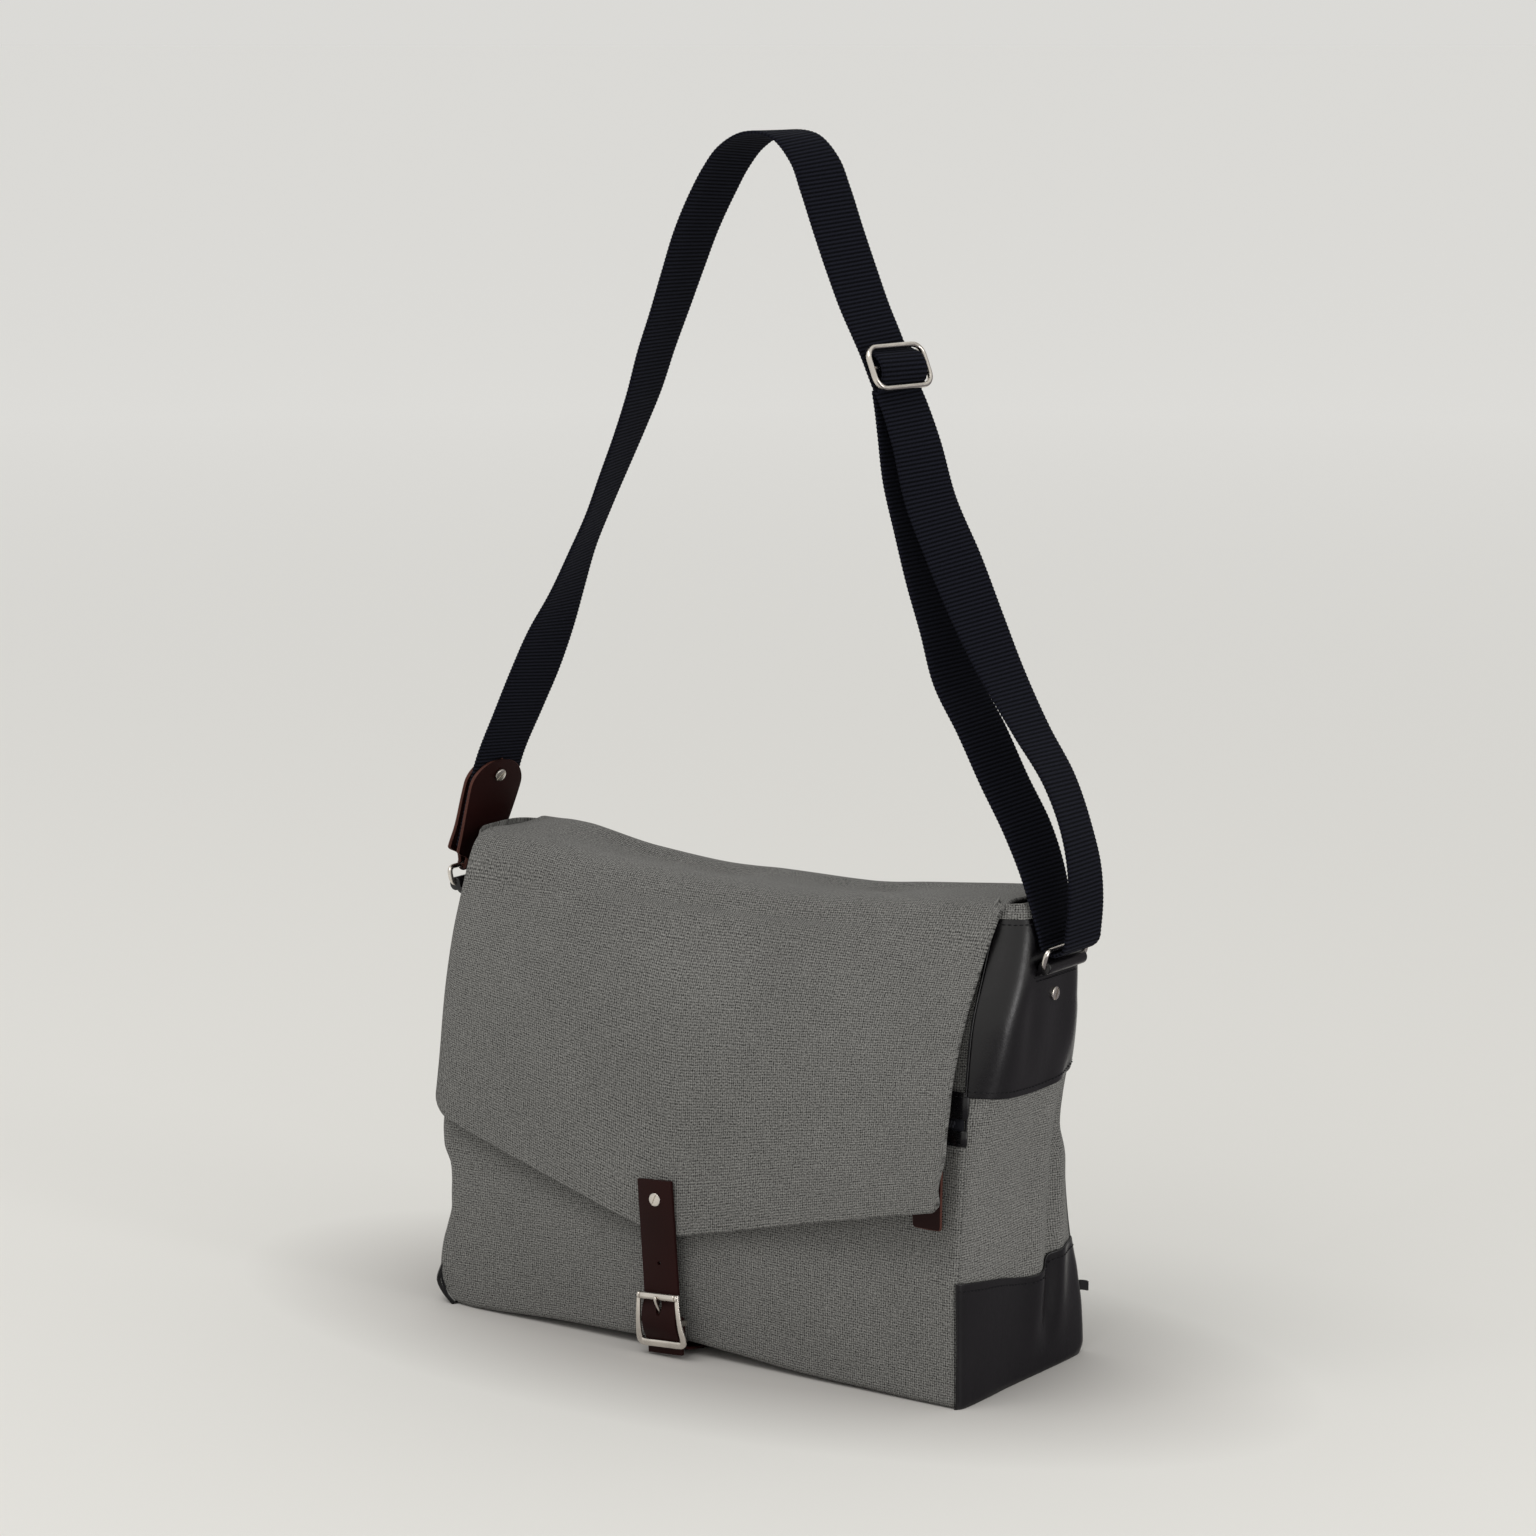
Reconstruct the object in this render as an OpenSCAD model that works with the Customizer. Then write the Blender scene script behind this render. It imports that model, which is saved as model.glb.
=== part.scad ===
// Messenger bag: a soft canvas body with leather patches, a full flap that closes
// with a roller buckle, a zip pocket on the front and an adjustable webbing strap.
// Millimetres. +X is the wearer's view of the front to the right, +Y is the rear,
// +Z is up, and the origin is the middle of the base where it rests.

/* [Bag body] */
// Width of the front and back panels
bag_w = 380; // [360:1:400]
// Thickness of a canvas panel
canvas_t = 2; // [1.5:0.1:2.5]
// Thickness of a leather patch
patch_t = 1.4; // [1:0.1:1.6]
// How far the middle of the rim sags below its ends
rim_sag = 11; // [4:1:14]
// How far the front edge of the base lifts over the closure strap
base_lift = 10; // [9:1:12]

/* [Flap] */
// Half the width of the flap where it folds over the front
flap_half_w = 191; // [190:1:196]
// Height of the flap's lower corners
flap_corner_z = 124; // [118:1:130]
// Height of the flap's lowest point
flap_tip_z = 73; // [71:1:76]

/* [Closure] */
// Width of the closure strap
billet_w = 25; // [20:1:26]
// Thickness of the closure strap
billet_t = 2.6; // [2:0.1:2.8]
// Lean of the closure, its top towards -X
closure_lean = 4; // [0:1:5]
// Radius of the screw heads
screw_r = 4; // [3:0.5:4.5]

/* [Shoulder strap] */
// Width of the webbing
web_w = 40; // [38:1:40]
// Thickness of the webbing
web_t = 2; // [1.6:0.1:2.2]
// Radius of the ring and slider wire
wire_r = 1.6; // [1.4:0.1:1.7]

/* [Hidden] */
$fn = 48;

canvas_grey = [0.42, 0.43, 0.40];
leather_navy = [0.06, 0.07, 0.11];
leather_brown = [0.18, 0.10, 0.09];
web_navy = [0.05, 0.06, 0.10];
nickel = [0.75, 0.73, 0.70];

skin = 0.3;              // gap between layers that are sewn together
half_w = bag_w / 2;
panel_half = half_w - canvas_t - skin;

rim_z = 290;             // rim height at the gussets
pocket_top = 155;        // top of the pocket panel
zip_top = 187;           // top of the navy zip tape
zip_z = 168;             // height of the zip's teeth

// Side profiles of the body as [height, y], and how far the gussets bulge at a height.
// Each layer has a row of points at every height in LEVELS that it reaches.
FRONT = [[0, -70], [75, -71], [145, -64], [220, -56], [254, -43], [rim_z, -27]];
REAR = [[0, 72], [50, 64], [75, 56], [110, 49], [180, 44], [220, 42], [rim_z, 36]];
BULGE = [[0, 0], [75, 2], [180, 12], [220, 17.5], [254, 20], [270, 18], [rim_z, 12]];
LEVELS = [50, 75, 110, 145, 180, 220, 254, 270];
function levels(low, high) = [for (z = LEVELS) if (z > low && z < high) z];
function level(l, s) = is_function(l) ? l(s) : l;

function front_y(z) = lookup(z, FRONT);
function rear_y(z) = lookup(z, REAR);
function across(x, half) = 1 - pow(x / half, 2);
function sag(x) = rim_sag * max(0, across(x, half_w));

// The base is flat at the rear and lifts towards the front edge, most in the middle
lift_from = -30;
function base_z(x, y) = base_lift * max(0, across(x, half_w)) * max(0, (lift_from - y) / (lift_from + 70));

function gusset_point(v, z, out) = [
    half_w + lookup(z, BULGE) * (1 - pow(abs(2 * v - 1), 4)) + out,
    front_y(z) + (rear_y(z) - front_y(z)) * v,
    z
];
function flat(a, b, n) = [for (i = [0 : n]) a + (b - a) * i / n];

// Closed solid between two grids of points. Rows go up and columns go right, seen from the outer side
module sheet(outer, inner) {
    rows = len(outer) - 1;
    cols = len(outer[0]) - 1;
    count = (rows + 1) * (cols + 1);
    function o(r, c) = r * (cols + 1) + c;
    function i(r, c) = count + o(r, c);
    quads = concat(
        [for (r = [0 : rows - 1], c = [0 : cols - 1]) [o(r, c), o(r + 1, c), o(r + 1, c + 1), o(r, c + 1)]],
        [for (r = [0 : rows - 1], c = [0 : cols - 1]) [i(r, c), i(r, c + 1), i(r + 1, c + 1), i(r + 1, c)]],
        [for (c = [0 : cols - 1]) [o(0, c), o(0, c + 1), i(0, c + 1), i(0, c)]],
        [for (c = [0 : cols - 1]) [o(rows, c + 1), o(rows, c), i(rows, c), i(rows, c + 1)]],
        [for (r = [0 : rows - 1]) [o(r + 1, 0), o(r, 0), i(r, 0), i(r + 1, 0)]],
        [for (r = [0 : rows - 1]) [o(r, cols), o(r + 1, cols), i(r + 1, cols), i(r, cols)]]
    );
    polyhedron(
        concat([for (row = outer) each row], [for (row = inner) each row]),
        [for (q = quads) each [[q[0], q[1], q[2]], [q[0], q[2], q[3]]]],
        convexity = 8
    );
}

// Front layers: a sheet that follows the front profile through the given rows, set in by depth
function front_grid(rows, depth) = [
    for (row = rows) [
        for (x = flat(-panel_half, panel_half, 12))
            let (z = level(row, x)) [x, front_y(z) + depth, z]
    ]
];
module front_layer(rows, depth, t) {
    sheet(front_grid(rows, depth), front_grid(rows, depth + t));
}
function panel_foot(x) = base_z(x, -69) + canvas_t + skin;
layer_step = canvas_t + skin;

function panel_top(x) = rim_z - 2 - sag(x);

module front_panel() {
    rows = [function (x) panel_foot(x), each levels(20, 272), function (x) panel_top(x)];
    color(canvas_grey) front_layer(rows, layer_step, canvas_t);
}
module pocket_panel() {
    rows = [function (x) panel_foot(x), each levels(20, pocket_top), pocket_top];
    color(canvas_grey) front_layer(rows, 0, canvas_t);
}
module zip_tape() {
    rows = [pocket_top + skin, each levels(pocket_top, zip_top), zip_top];
    color(leather_navy) front_layer(rows, 0.9, canvas_t - 0.9);
}

teeth_w = 5;
teeth_y = front_y(zip_z) - 0.2;
module zip_teeth() {
    color("black")
        translate([-panel_half + 4, teeth_y - 1.2, zip_z - teeth_w / 2])
            cube([2 * panel_half - 8, 1.2, teeth_w]);
}

slider_x = 172;
slider_l = 12;
module zip_slider() {
    color(nickel)
        translate([slider_x, teeth_y - 1.6, zip_z])
            difference() {
                translate([-slider_l / 2, -3.4, -4.4]) cube([slider_l, 3.4, 8.8]);
                translate([-slider_l, -0.1, -teeth_w / 2 - 0.3]) cube([2 * slider_l, 1, teeth_w + 0.6]);
                translate([-slider_l, -1.9, -6.1]) cube([2 * slider_l, 1.3, 3]);
                rotate([0, 90, 0])
                    translate([4.6, -1.3, 0]) cylinder(r = 1.2, h = 3 * slider_l, center = true);
            }
}

// The pull hangs from the slider and leans out so that it lies on the pocket
pull_hinge = [slider_x, teeth_y - 6.2, zip_z - 4];
pull_w = 20;
pull_l = 58;
pull_t = 2.2;
pull_lean = 1.5;
module at_pull() {
    translate(pull_hinge) rotate([-pull_lean, 0, 0]) children();
}
module zip_pull() {
    color(leather_brown)
        at_pull()
            difference() {
                translate([-pull_w / 2, -pull_t, -pull_l]) cube([pull_w, pull_t, pull_l - 2]);
                translate([0, 1, -13]) rotate([90, 0, 0]) cylinder(r = 1.6, h = 5);
            }
}
module zip_pull_screw() {
    color(nickel)
        at_pull()
            translate([0, 0, -13]) rotate([90, 0, 0]) {
                translate([0, 0, pull_t + 0.05]) cylinder(r = 3, h = 1);
                translate([0, 0, -0.6]) cylinder(r = 1.5, h = pull_t + 1);
                translate([0, 0, -0.65]) cylinder(r = 2.6, h = 0.6);
            }
}

function back_grid(depth) = [
    for (row = [layer_step, each levels(0, 272), function (x) panel_top(x)]) [
        for (x = flat(panel_half, -panel_half, 12))
            let (z = level(row, x)) [x, rear_y(z) - depth, z]
    ]
];
module back_panel() {
    color(canvas_grey) sheet(back_grid(0), back_grid(canvas_t));
}

// Gussets and the patches on them, on the right side; the left side mirrors them
function gusset_grid(rows, out) = [
    for (row = rows) [for (v = flat(0, 1, 10)) gusset_point(v, level(row, v), out)]
];
module gusset_layer(rows, out, t) {
    sheet(gusset_grid(rows, out + t), gusset_grid(rows, out));
}

loop_z = 256.5;                           // height of the ring's lower bar
loop_x = half_w + 26.3;                   // its distance from the middle
loop_w = web_w + 2;
slit_z = 249.5;                           // lower edge of the slit the loop's tail goes through
slit_h = 5.4;
loop_screw_z = loop_z - 19;
binding_z = rim_z - 6.2;                  // lower edge of the rim binding
module gusset() {
    difference() {
        gusset_layer([0.4, each LEVELS, rim_z], -canvas_t, canvas_t);
        loop_openings();
    }
}
module top_patch() {
    low = function (v) 186 - 5.5 * sin(180 * v);
    difference() {
        gusset_layer([low, each levels(187, binding_z), binding_z - 0.4], skin, patch_t);
        loop_openings();
    }
}
module base_patch() {
    edge = [[0, 74.9], [0.3, 69], [0.6, 62], [0.7, 68], [0.8, 72], [1, 72]];
    gusset_layer([0, 50, function (v) lookup(v, edge)], skin, patch_t);
}
module rim_binding() {
    gusset_layer([binding_z, rim_z, rim_z + 1.5], skin, patch_t);
}
// The slit for a ring loop's tail, and the hole for its screw
module loop_openings() {
    translate([half_w, -loop_w / 2 - 0.6, slit_z - 0.4]) cube([60, loop_w + 1.2, slit_h + 0.8]);
    loop_screw_hole();
}

module gusset_right() { color(canvas_grey) gusset(); }
module gusset_left() { color(canvas_grey) mirror([1, 0, 0]) gusset(); }
module top_patch_right() { color(leather_navy) top_patch(); }
module top_patch_left() { color(leather_navy) mirror([1, 0, 0]) top_patch(); }
module base_patch_right() { color(leather_navy) base_patch(); }
module base_patch_left() { color(leather_navy) mirror([1, 0, 0]) base_patch(); }
module rim_binding_right() { color(canvas_grey) rim_binding(); }
module rim_binding_left() { color(canvas_grey) mirror([1, 0, 0]) rim_binding(); }

// Base: the leather underside and the stiffener board that lies on it
function base_grid(half, y0, y1, up) = [
    for (y = concat(flat(y0, lift_from, 4), [y1])) [
        for (x = flat(half, -half, 12)) [x, y, base_z(x, y) + up]
    ]
];
module base_layer(half, y0, y1, up, t) {
    sheet(base_grid(half, y0, y1, up), base_grid(half, y0, y1, up + t));
}
module base_panel() {
    color(leather_navy) base_layer(panel_half, -69.5, 71.5, 0, canvas_t);
}
module base_board() {
    color("dimgray") base_layer(panel_half - 6, -60, 60, layer_step, 2);
}
anchor_patch_at = [-26, -55, 0.2];
anchor_patch_l = 12;
anchor_patch_t = 2;
module anchor_patch() {
    color(leather_brown)
        translate(anchor_patch_at) cube([billet_w, anchor_patch_l, anchor_patch_t]);
}

// Label sewn into the rear seam, drooping a little
label_at = [half_w - 1.8, 66.4, 39.5];
label_size = [1.2, 11, 6];
label_droop = 18;
module label_tab() {
    color("black")
        translate(label_at) rotate([-label_droop, 0, 0]) cube(label_size);
}

// Leather loop that holds a ring: a roll round the ring's bar, with a tail through the slit
roll_r = 4.3;
tail_l = 19;             // how far the tail reaches into the bag
tail_w = 24;             // its width inside the bag
tail_t = 3.4;
tail_drop = 20;          // how far it hangs down there
screw_hole_r = 2.2;
module ring_loop() {
    difference() {
        rotate([90, 0, 0]) {
            linear_extrude(loop_w, center = true)
                difference() {
                    union() {
                        translate([loop_x, loop_z]) circle(roll_r);
                        translate([loop_x - tail_l, slit_z]) square([tail_l, slit_h - 0.5]);
                    }
                    translate([loop_x, loop_z]) circle(wire_r + 0.4);
                }
            linear_extrude(tail_w, center = true)
                translate([loop_x - tail_l, slit_z - tail_drop]) square([tail_t, tail_drop + 1]);
        }
        loop_screw_hole();
    }
}
module loop_screw_hole() {
    translate([half_w, 0, loop_screw_z]) rotate([0, 90, 0]) cylinder(r = screw_hole_r, h = 60);
}
module loop_screw() {
    face = gusset_point(0.5, loop_screw_z, patch_t + skin)[0] + 0.4;
    translate([face, 0, loop_screw_z])
        rotate([0, 90, 0]) slotted_screw(screw_r, face - (loop_x - tail_l) + 0.3);
}
// Screw post with a slotted head, its head on z = 0 and its nut below
module slotted_screw(r, grip) {
    difference() {
        translate([0, 0, 0.1]) cylinder(r = r, h = 1.3);
        translate([-r, -0.5, 0.8]) cube([2 * r, 1, 1]);
    }
    translate([0, 0, -grip]) cylinder(r = 1.8, h = grip + 0.2);
    translate([0, 0, -grip - 1]) cylinder(r = r, h = 1.1);
}
module ring_loop_right() { color(leather_navy) ring_loop(); }
module ring_loop_left() { color(leather_navy) mirror([1, 0, 0]) ring_loop(); }
module loop_screw_right() { color(nickel) loop_screw(); }
module loop_screw_left() { color(nickel) mirror([1, 0, 0]) loop_screw(); }

// Flap: the top piece runs from the rear seam to the front fold, the front piece hangs from there
fold_y = -31;
fold_z = 296;
hinge_y = 37;
hinge_z = 293.5;
flap_t = 1.3;
function flap_gap(x, z) =
    let (down = (fold_z - z) / (fold_z - flap_corner_z), right = max(0, x / half_w))
    5 + 6 * min(1, 2 * down) + 14 * pow(max(0, down), 1.5) * pow(right, 2);
function flap_edge(x) =
    lookup(x, [[-half_w, flap_corner_z], [-12, flap_tip_z], [half_w, flap_corner_z]]);
function flap_half(z) =
    let (up = max(0, (z - 150) / (fold_z - 150)))
    half_w - 3 + (flap_half_w - half_w + 3) * pow(up, 2);
hang_z = 105;            // below this height the flap hangs straight down
function flap_y(x, z) = min(front_y(min(max(z, hang_z), 288)) - flap_gap(x, z), fold_y);
function flap_front_grid(depth) = [
    for (u = flat(0, 1, 12)) [
        for (s = flat(-1, 1, 16))
            let (
                low = flap_edge(s * half_w),
                z = low + (fold_z - 1.5 - low) * u,
                x = s * flap_half(z)
            )
            [x, flap_y(x, z) + depth, z - sag(x) * pow(u, 4)]
    ]
];
function flap_top_grid(depth) = [
    for (u = flat(0, 1, 6)) [
        for (x = flat(-flap_half_w, flap_half_w, 16))
            [x, fold_y + 1 + (hinge_y - fold_y - 1) * u, fold_z + (hinge_z - fold_z) * u - sag(x) - depth]
    ]
];
module flap_top() { color(canvas_grey) sheet(flap_top_grid(-flap_t), flap_top_grid(0)); }
module flap_top_facing() { color(canvas_grey) sheet(flap_top_grid(0.2), flap_top_grid(1.2)); }
module flap_front_layer(depth, t) {
    difference() {
        sheet(flap_front_grid(depth), flap_front_grid(depth + t));
        on_closure() translate([0, 0, billet_screw_z]) rotate([90, 0, 0]) cylinder(r = 2, h = 200);
    }
}
module flap_front() { color(canvas_grey) flap_front_layer(-flap_t, flap_t); }
module flap_front_facing() { color(canvas_grey) flap_front_layer(0.2, 1); }

// Closure: local frame at the middle of the roller, its Z along the strap and its Y to the rear
closure_x = -12;
roller_z = 38;
flap_face = flap_y(-12, 90) - flap_t;            // outer face of the flap under the billet
billet_y = flap_face - 0.2;                      // rear face of the billet
roller_y = billet_y - billet_t - 0.4 - 2.3;
flex_z = 70;
billet_screw_z = 59;                             // above the roller
module on_closure() {
    translate([closure_x, 0, roller_z]) rotate([0, -closure_lean, 0]) children();
}
module billet_profile(points) {
    rotate([90, 0, 90]) linear_extrude(billet_w, center = true) polygon(points);
}
module billet_top() {
    color(leather_brown)
        on_closure()
            difference() {
                translate([-billet_w / 2, billet_y - billet_t, flex_z - roller_z + 0.3])
                    cube([billet_w, billet_t, 39]);
                translate([0, 0, billet_screw_z]) rotate([90, 0, 0]) cylinder(r = 2, h = 200);
            }
}
module billet_screw() {
    color(nickel)
        on_closure()
            translate([0, billet_y - billet_t, billet_screw_z])
                rotate([90, 0, 0]) slotted_screw(screw_r, billet_t + 3.4);
}
bar_z = -16;                                     // centre bar, below the roller
bottom_z = -31;                                  // bottom bar, below the roller
bar_y = roller_y + 5.6;
tail_y = bar_y + 0.4;                            // rear face of the billet behind the bottom bar
module billet() {
    front = billet_y - billet_t;
    bulge_y = bar_y - 3.8;                       // rear face where it passes over the centre bar
    color(leather_brown)
        on_closure()
            difference() {
                billet_profile([
                    [billet_y, flex_z - roller_z - 0.3], [billet_y, -3.4], [bulge_y, bar_z + 6],
                    [bulge_y, bar_z - 4], [tail_y, bottom_z + 5], [tail_y, bottom_z - 6],
                    [tail_y - billet_t, bottom_z - 6], [tail_y - billet_t, bottom_z + 4],
                    [bulge_y - billet_t, bar_z - 5], [bulge_y - billet_t, bar_z + 7],
                    [front, -3], [front, flex_z - roller_z - 0.3]
                ]);
                translate([0, 0, 20]) rotate([90, 0, 0]) cylinder(r = 1.2, h = 200);
                for (turn = [0 : 3 : 12])
                    along_prong(turn) translate([-1.8, -1.4, 1]) cube([3.6, 2.8, 18]);
            }
}
module anchor_strap() {
    back = tail_y + 0.4;
    color(leather_brown)
        on_closure()
            difference() {
                rotate([90, 0, 90])
                    linear_extrude(billet_w - 1, center = true)
                        difference() {
                            union() {
                                translate([bar_y, bar_z]) circle(3.4);
                                polygon([
                                    [back, bar_z], [back, bottom_z - 2], [-57, 1.2 - roller_z],
                                    [-57, 3 - roller_z], [back + 2, bottom_z + 2], [bar_y + 3.3, bar_z]
                                ]);
                            }
                            translate([bar_y, bar_z]) circle(1.8);
                        }
                translate([-2.4, bar_y - 6, bar_z - 3.2]) cube([4.8, 8.9, 12]);
            }
}

frame_top_w = 30;
frame_low_w = 33.4;
frame_t = 2;
module buckle_frame() {
    splay = (frame_low_w - frame_top_w) / 2 / bottom_z;
    color(nickel)
        on_closure() {
            for (side = [-1, 1])
                multmatrix([[1, 0, side * splay, 0], [0, 1, 0, 0], [0, 0, 1, 0]])
                    translate([side * (frame_top_w / 2 - frame_t / 2), 0, 0])
                        rotate([90, 0, 90])
                            linear_extrude(frame_t, center = true) side_plate();
            translate([0, roller_y, 0])
                rotate([0, 90, 0]) cylinder(r = 1.2, h = frame_top_w - 1, center = true);
            translate([0, bar_y, bar_z])
                rotate([0, 90, 0]) cylinder(r = 1.4, h = frame_top_w + 1, center = true);
            translate([-frame_low_w / 2, tail_y - billet_t - 2.4, bottom_z - 2.2])
                cube([frame_low_w, 2, 4.4]);
        }
}
// Side of the buckle: an arched plate that joins the three bars
module side_plate() {
    polygon([
        [roller_y - 1.7, 1.8], [roller_y + 1.7, 1.8], [bar_y + 1.6, bar_z + 3], [bar_y + 1.6, bar_z - 2],
        [tail_y - billet_t - 0.4, bottom_z + 4], [tail_y - billet_t - 0.4, bottom_z - 2.2],
        [tail_y - billet_t - 2.4, bottom_z - 2.2], [tail_y - billet_t - 2.6, bottom_z + 5],
        [roller_y - 2.6, bar_z]
    ]);
}
module buckle_roller() {
    color(nickel)
        on_closure()
            translate([0, roller_y, 0]) rotate([0, 90, 0])
                difference() {
                    cylinder(r = 2.3, h = frame_top_w - 2 * frame_t - 0.8, center = true);
                    cylinder(r = 1.25, h = frame_top_w, center = true);
                }
}
// The prong runs from the centre bar to the front of the roller; turn swings it outwards
prong_reach = [roller_y - 4.1 - bar_y, -bar_z];
module along_prong(turn = 0) {
    translate([0, bar_y, bar_z])
        rotate([atan2(-prong_reach[0], prong_reach[1]) + turn, 0, 0]) children();
}
module buckle_prong() {
    color(nickel)
        on_closure()
            along_prong() {
                rotate([0, 90, 0])
                    difference() {
                        cylinder(r = 2.6, h = 3, center = true);
                        cylinder(r = 1.45, h = 5, center = true);
                    }
                translate([-1.1, -0.9, 2.2]) cube([2.2, 1.8, norm(prong_reach) - 2]);
            }
}

// Rings: rectangular wire, the lower bar in the leather loop and the upper bar in the webbing
ring_top = [loop_x + 3, loop_z + 10.6];
ring_half = loop_w / 2 + wire_r + 0.4;
module ring() {
    for (p = [[loop_x, loop_z], ring_top])
        translate([p[0], 0, p[1]])
            rotate([90, 0, 0]) cylinder(r = wire_r, h = 2 * ring_half, center = true);
    rise = [ring_top[0] - loop_x, ring_top[1] - loop_z];
    for (side = [-1, 1])
        translate([loop_x, side * ring_half, loop_z]) {
            rotate([0, atan2(rise[0], rise[1]), 0]) cylinder(r = wire_r, h = norm(rise));
            sphere(wire_r);
            translate([rise[0], 0, rise[1]]) sphere(wire_r);
        }
}
module ring_right() { color(nickel) ring(); }
module ring_left() { color(nickel) mirror([1, 0, 0]) ring(); }

// Leather tab on the left: one piece folded round the ring, with the webbing between its leaves
tab_lean = 18.5;
bar_fit = 0.08;          // running clearance round a ring bar
tab_w = 42;
tab_l = 73;
leaf_t = 2.2;
tab_screw_s = 63;         // its screw, along the tab from the ring
module at_tab() {
    translate([-ring_top[0], 0, ring_top[1]]) rotate([0, tab_lean, 0]) children();
}
module leaf_outline() {
    intersection() {
        union() {
            translate([-10, 0]) square([20, 14]);
            translate([-tab_w / 2, 8]) square([tab_w, tab_l - 24]);
            translate([0, tab_l - 18]) scale([1, 0.86]) circle(tab_w / 2);
        }
        translate([-tab_w, 0]) square([2 * tab_w, tab_l + 10]);
    }
}
module strap_tab() {
    color(leather_brown)
        at_tab()
            difference() {
                union() {
                    for (side = [-1, 1])
                        translate([side * (web_t / 2 + 0.2 + leaf_t / 2), 0, 0])
                            rotate([90, 0, 90]) linear_extrude(leaf_t, center = true) leaf_outline();
                    rotate([90, 0, 0]) cylinder(r = wire_r + bar_fit + leaf_t, h = 20, center = true);
                }
                rotate([90, 0, 0]) cylinder(r = wire_r + bar_fit, h = 60, center = true);
                rotate([0, 90, 0]) translate([-tab_screw_s, 0, 0]) cylinder(r = 2, h = 30, center = true);
            }
}
module strap_tab_screw() {
    color(nickel)
        at_tab()
            translate([web_t / 2 + leaf_t + 0.3, 0, tab_screw_s])
                rotate([0, 90, 0]) slotted_screw(screw_r, web_t + 2 * leaf_t + 0.8);
}

// Webbing: each strand follows [x, z, twist], where twist turns its width from Y towards X
function on_tab(s) = [s * sin(tab_lean) - ring_top[0], ring_top[1] + s * cos(tab_lean), 0];
turn_r = 8.6;            // middle of the webbing where it turns round the right ring
turn_x = ring_top[0] + 1.4;
turn_z = ring_top[1] + turn_r - web_t / 2 - wire_r - 0.6;
LEFT = [on_tab(14), on_tab(30), on_tab(52), on_tab(tab_l), [-180.6, 368, 12], [-167.5, 394, 13],
        [-155, 420, 8], [-142, 446, -5], [-130, 472, -13], [-117, 497, -15], [-105, 522, -12],
        [-93, 547, -9], [-82, 572, -5]];
TOP = [[-81.5, 573.2, -5], [-73, 597, -2], [-63, 621, 0], [-53, 646, 3], [-43, 670, 6], [-30, 694, 8],
       [-22, 706.5, 8], [-11, 719, 9], [7, 728, 10], [28, 726, 11], [42, 712.5, 12], [49.5, 696, 13],
       [58.5, 673, 13], [68, 650, 13]];
RIGHT = [[68.4, 648.8, 13], [78.2, 627, 12], [85, 614, 11], [89.6, 605, 10], [98.8, 585, 9], [104, 575, 9]];
OUTER = [[104.5, 573.8, 9], [113, 553, 11], [123.5, 519, 15], [140.4, 485, 19], [157.3, 451, 15],
         [172.5, 423, 8], [193.5, 390, -1], [212.5, 363, -5], [224.5, 335, -6], [230, 312, -3],
         [231, 292, -1], [turn_x + turn_r, turn_z + 0.4, 0]];
INNER = [[turn_x - turn_r, turn_z + 0.4, 0], [207, 292, 4], [201.8, 309, 8], [192.2, 331, 12],
         [175.4, 359, 12], [159.8, 387, 12], [142.5, 415, 11], [133, 444, 10], [123, 472, 9],
         [114.5, 501, 9], [106.5, 530, 9], [102.5, 558, 9], [101, 570, 9]];
function strand_frame(list, k) =
    let (
        a = list[max(k - 1, 0)],
        b = list[min(k + 1, len(list) - 1)],
        along = [b[0] - a[0], 0, b[1] - a[1]],
        wide = [sin(list[k][2]), cos(list[k][2]), 0],
        out = cross(wide, along)
    )
    [[list[k][0], 0, list[k][1]], wide * web_w / 2, out / norm(out) * web_t / 2];
function strand_side(list, way) = [
    for (k = [0 : len(list) - 1])
        let (f = strand_frame(list, k)) [f[0] - f[1] + way * f[2], f[0] + f[1] + way * f[2]]
];
module strand(list) {
    color(web_navy) sheet(strand_side(list, 1), strand_side(list, -1));
}
module strap_left() {
    difference() {
        strand(LEFT);
        color(web_navy) at_tab() rotate([0, 90, 0]) translate([-tab_screw_s, 0, 0])
            cylinder(r = 2, h = 30, center = true);
    }
}
module strap_top() { strand(TOP); }
module strap_right() { strand(RIGHT); }
module strap_outer() { strand(OUTER); }
module strap_inner() { strand(INNER); }
module strap_turn() {
    color(web_navy)
        translate([turn_x, 0, turn_z])
            rotate([90, 0, 0])
                linear_extrude(web_w, center = true)
                    intersection() {
                        difference() {
                            circle(turn_r + web_t / 2);
                            circle(turn_r - web_t / 2);
                        }
                        translate([-2 * turn_r, -2 * turn_r]) square([4 * turn_r, 2 * turn_r]);
                    }
}

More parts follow.
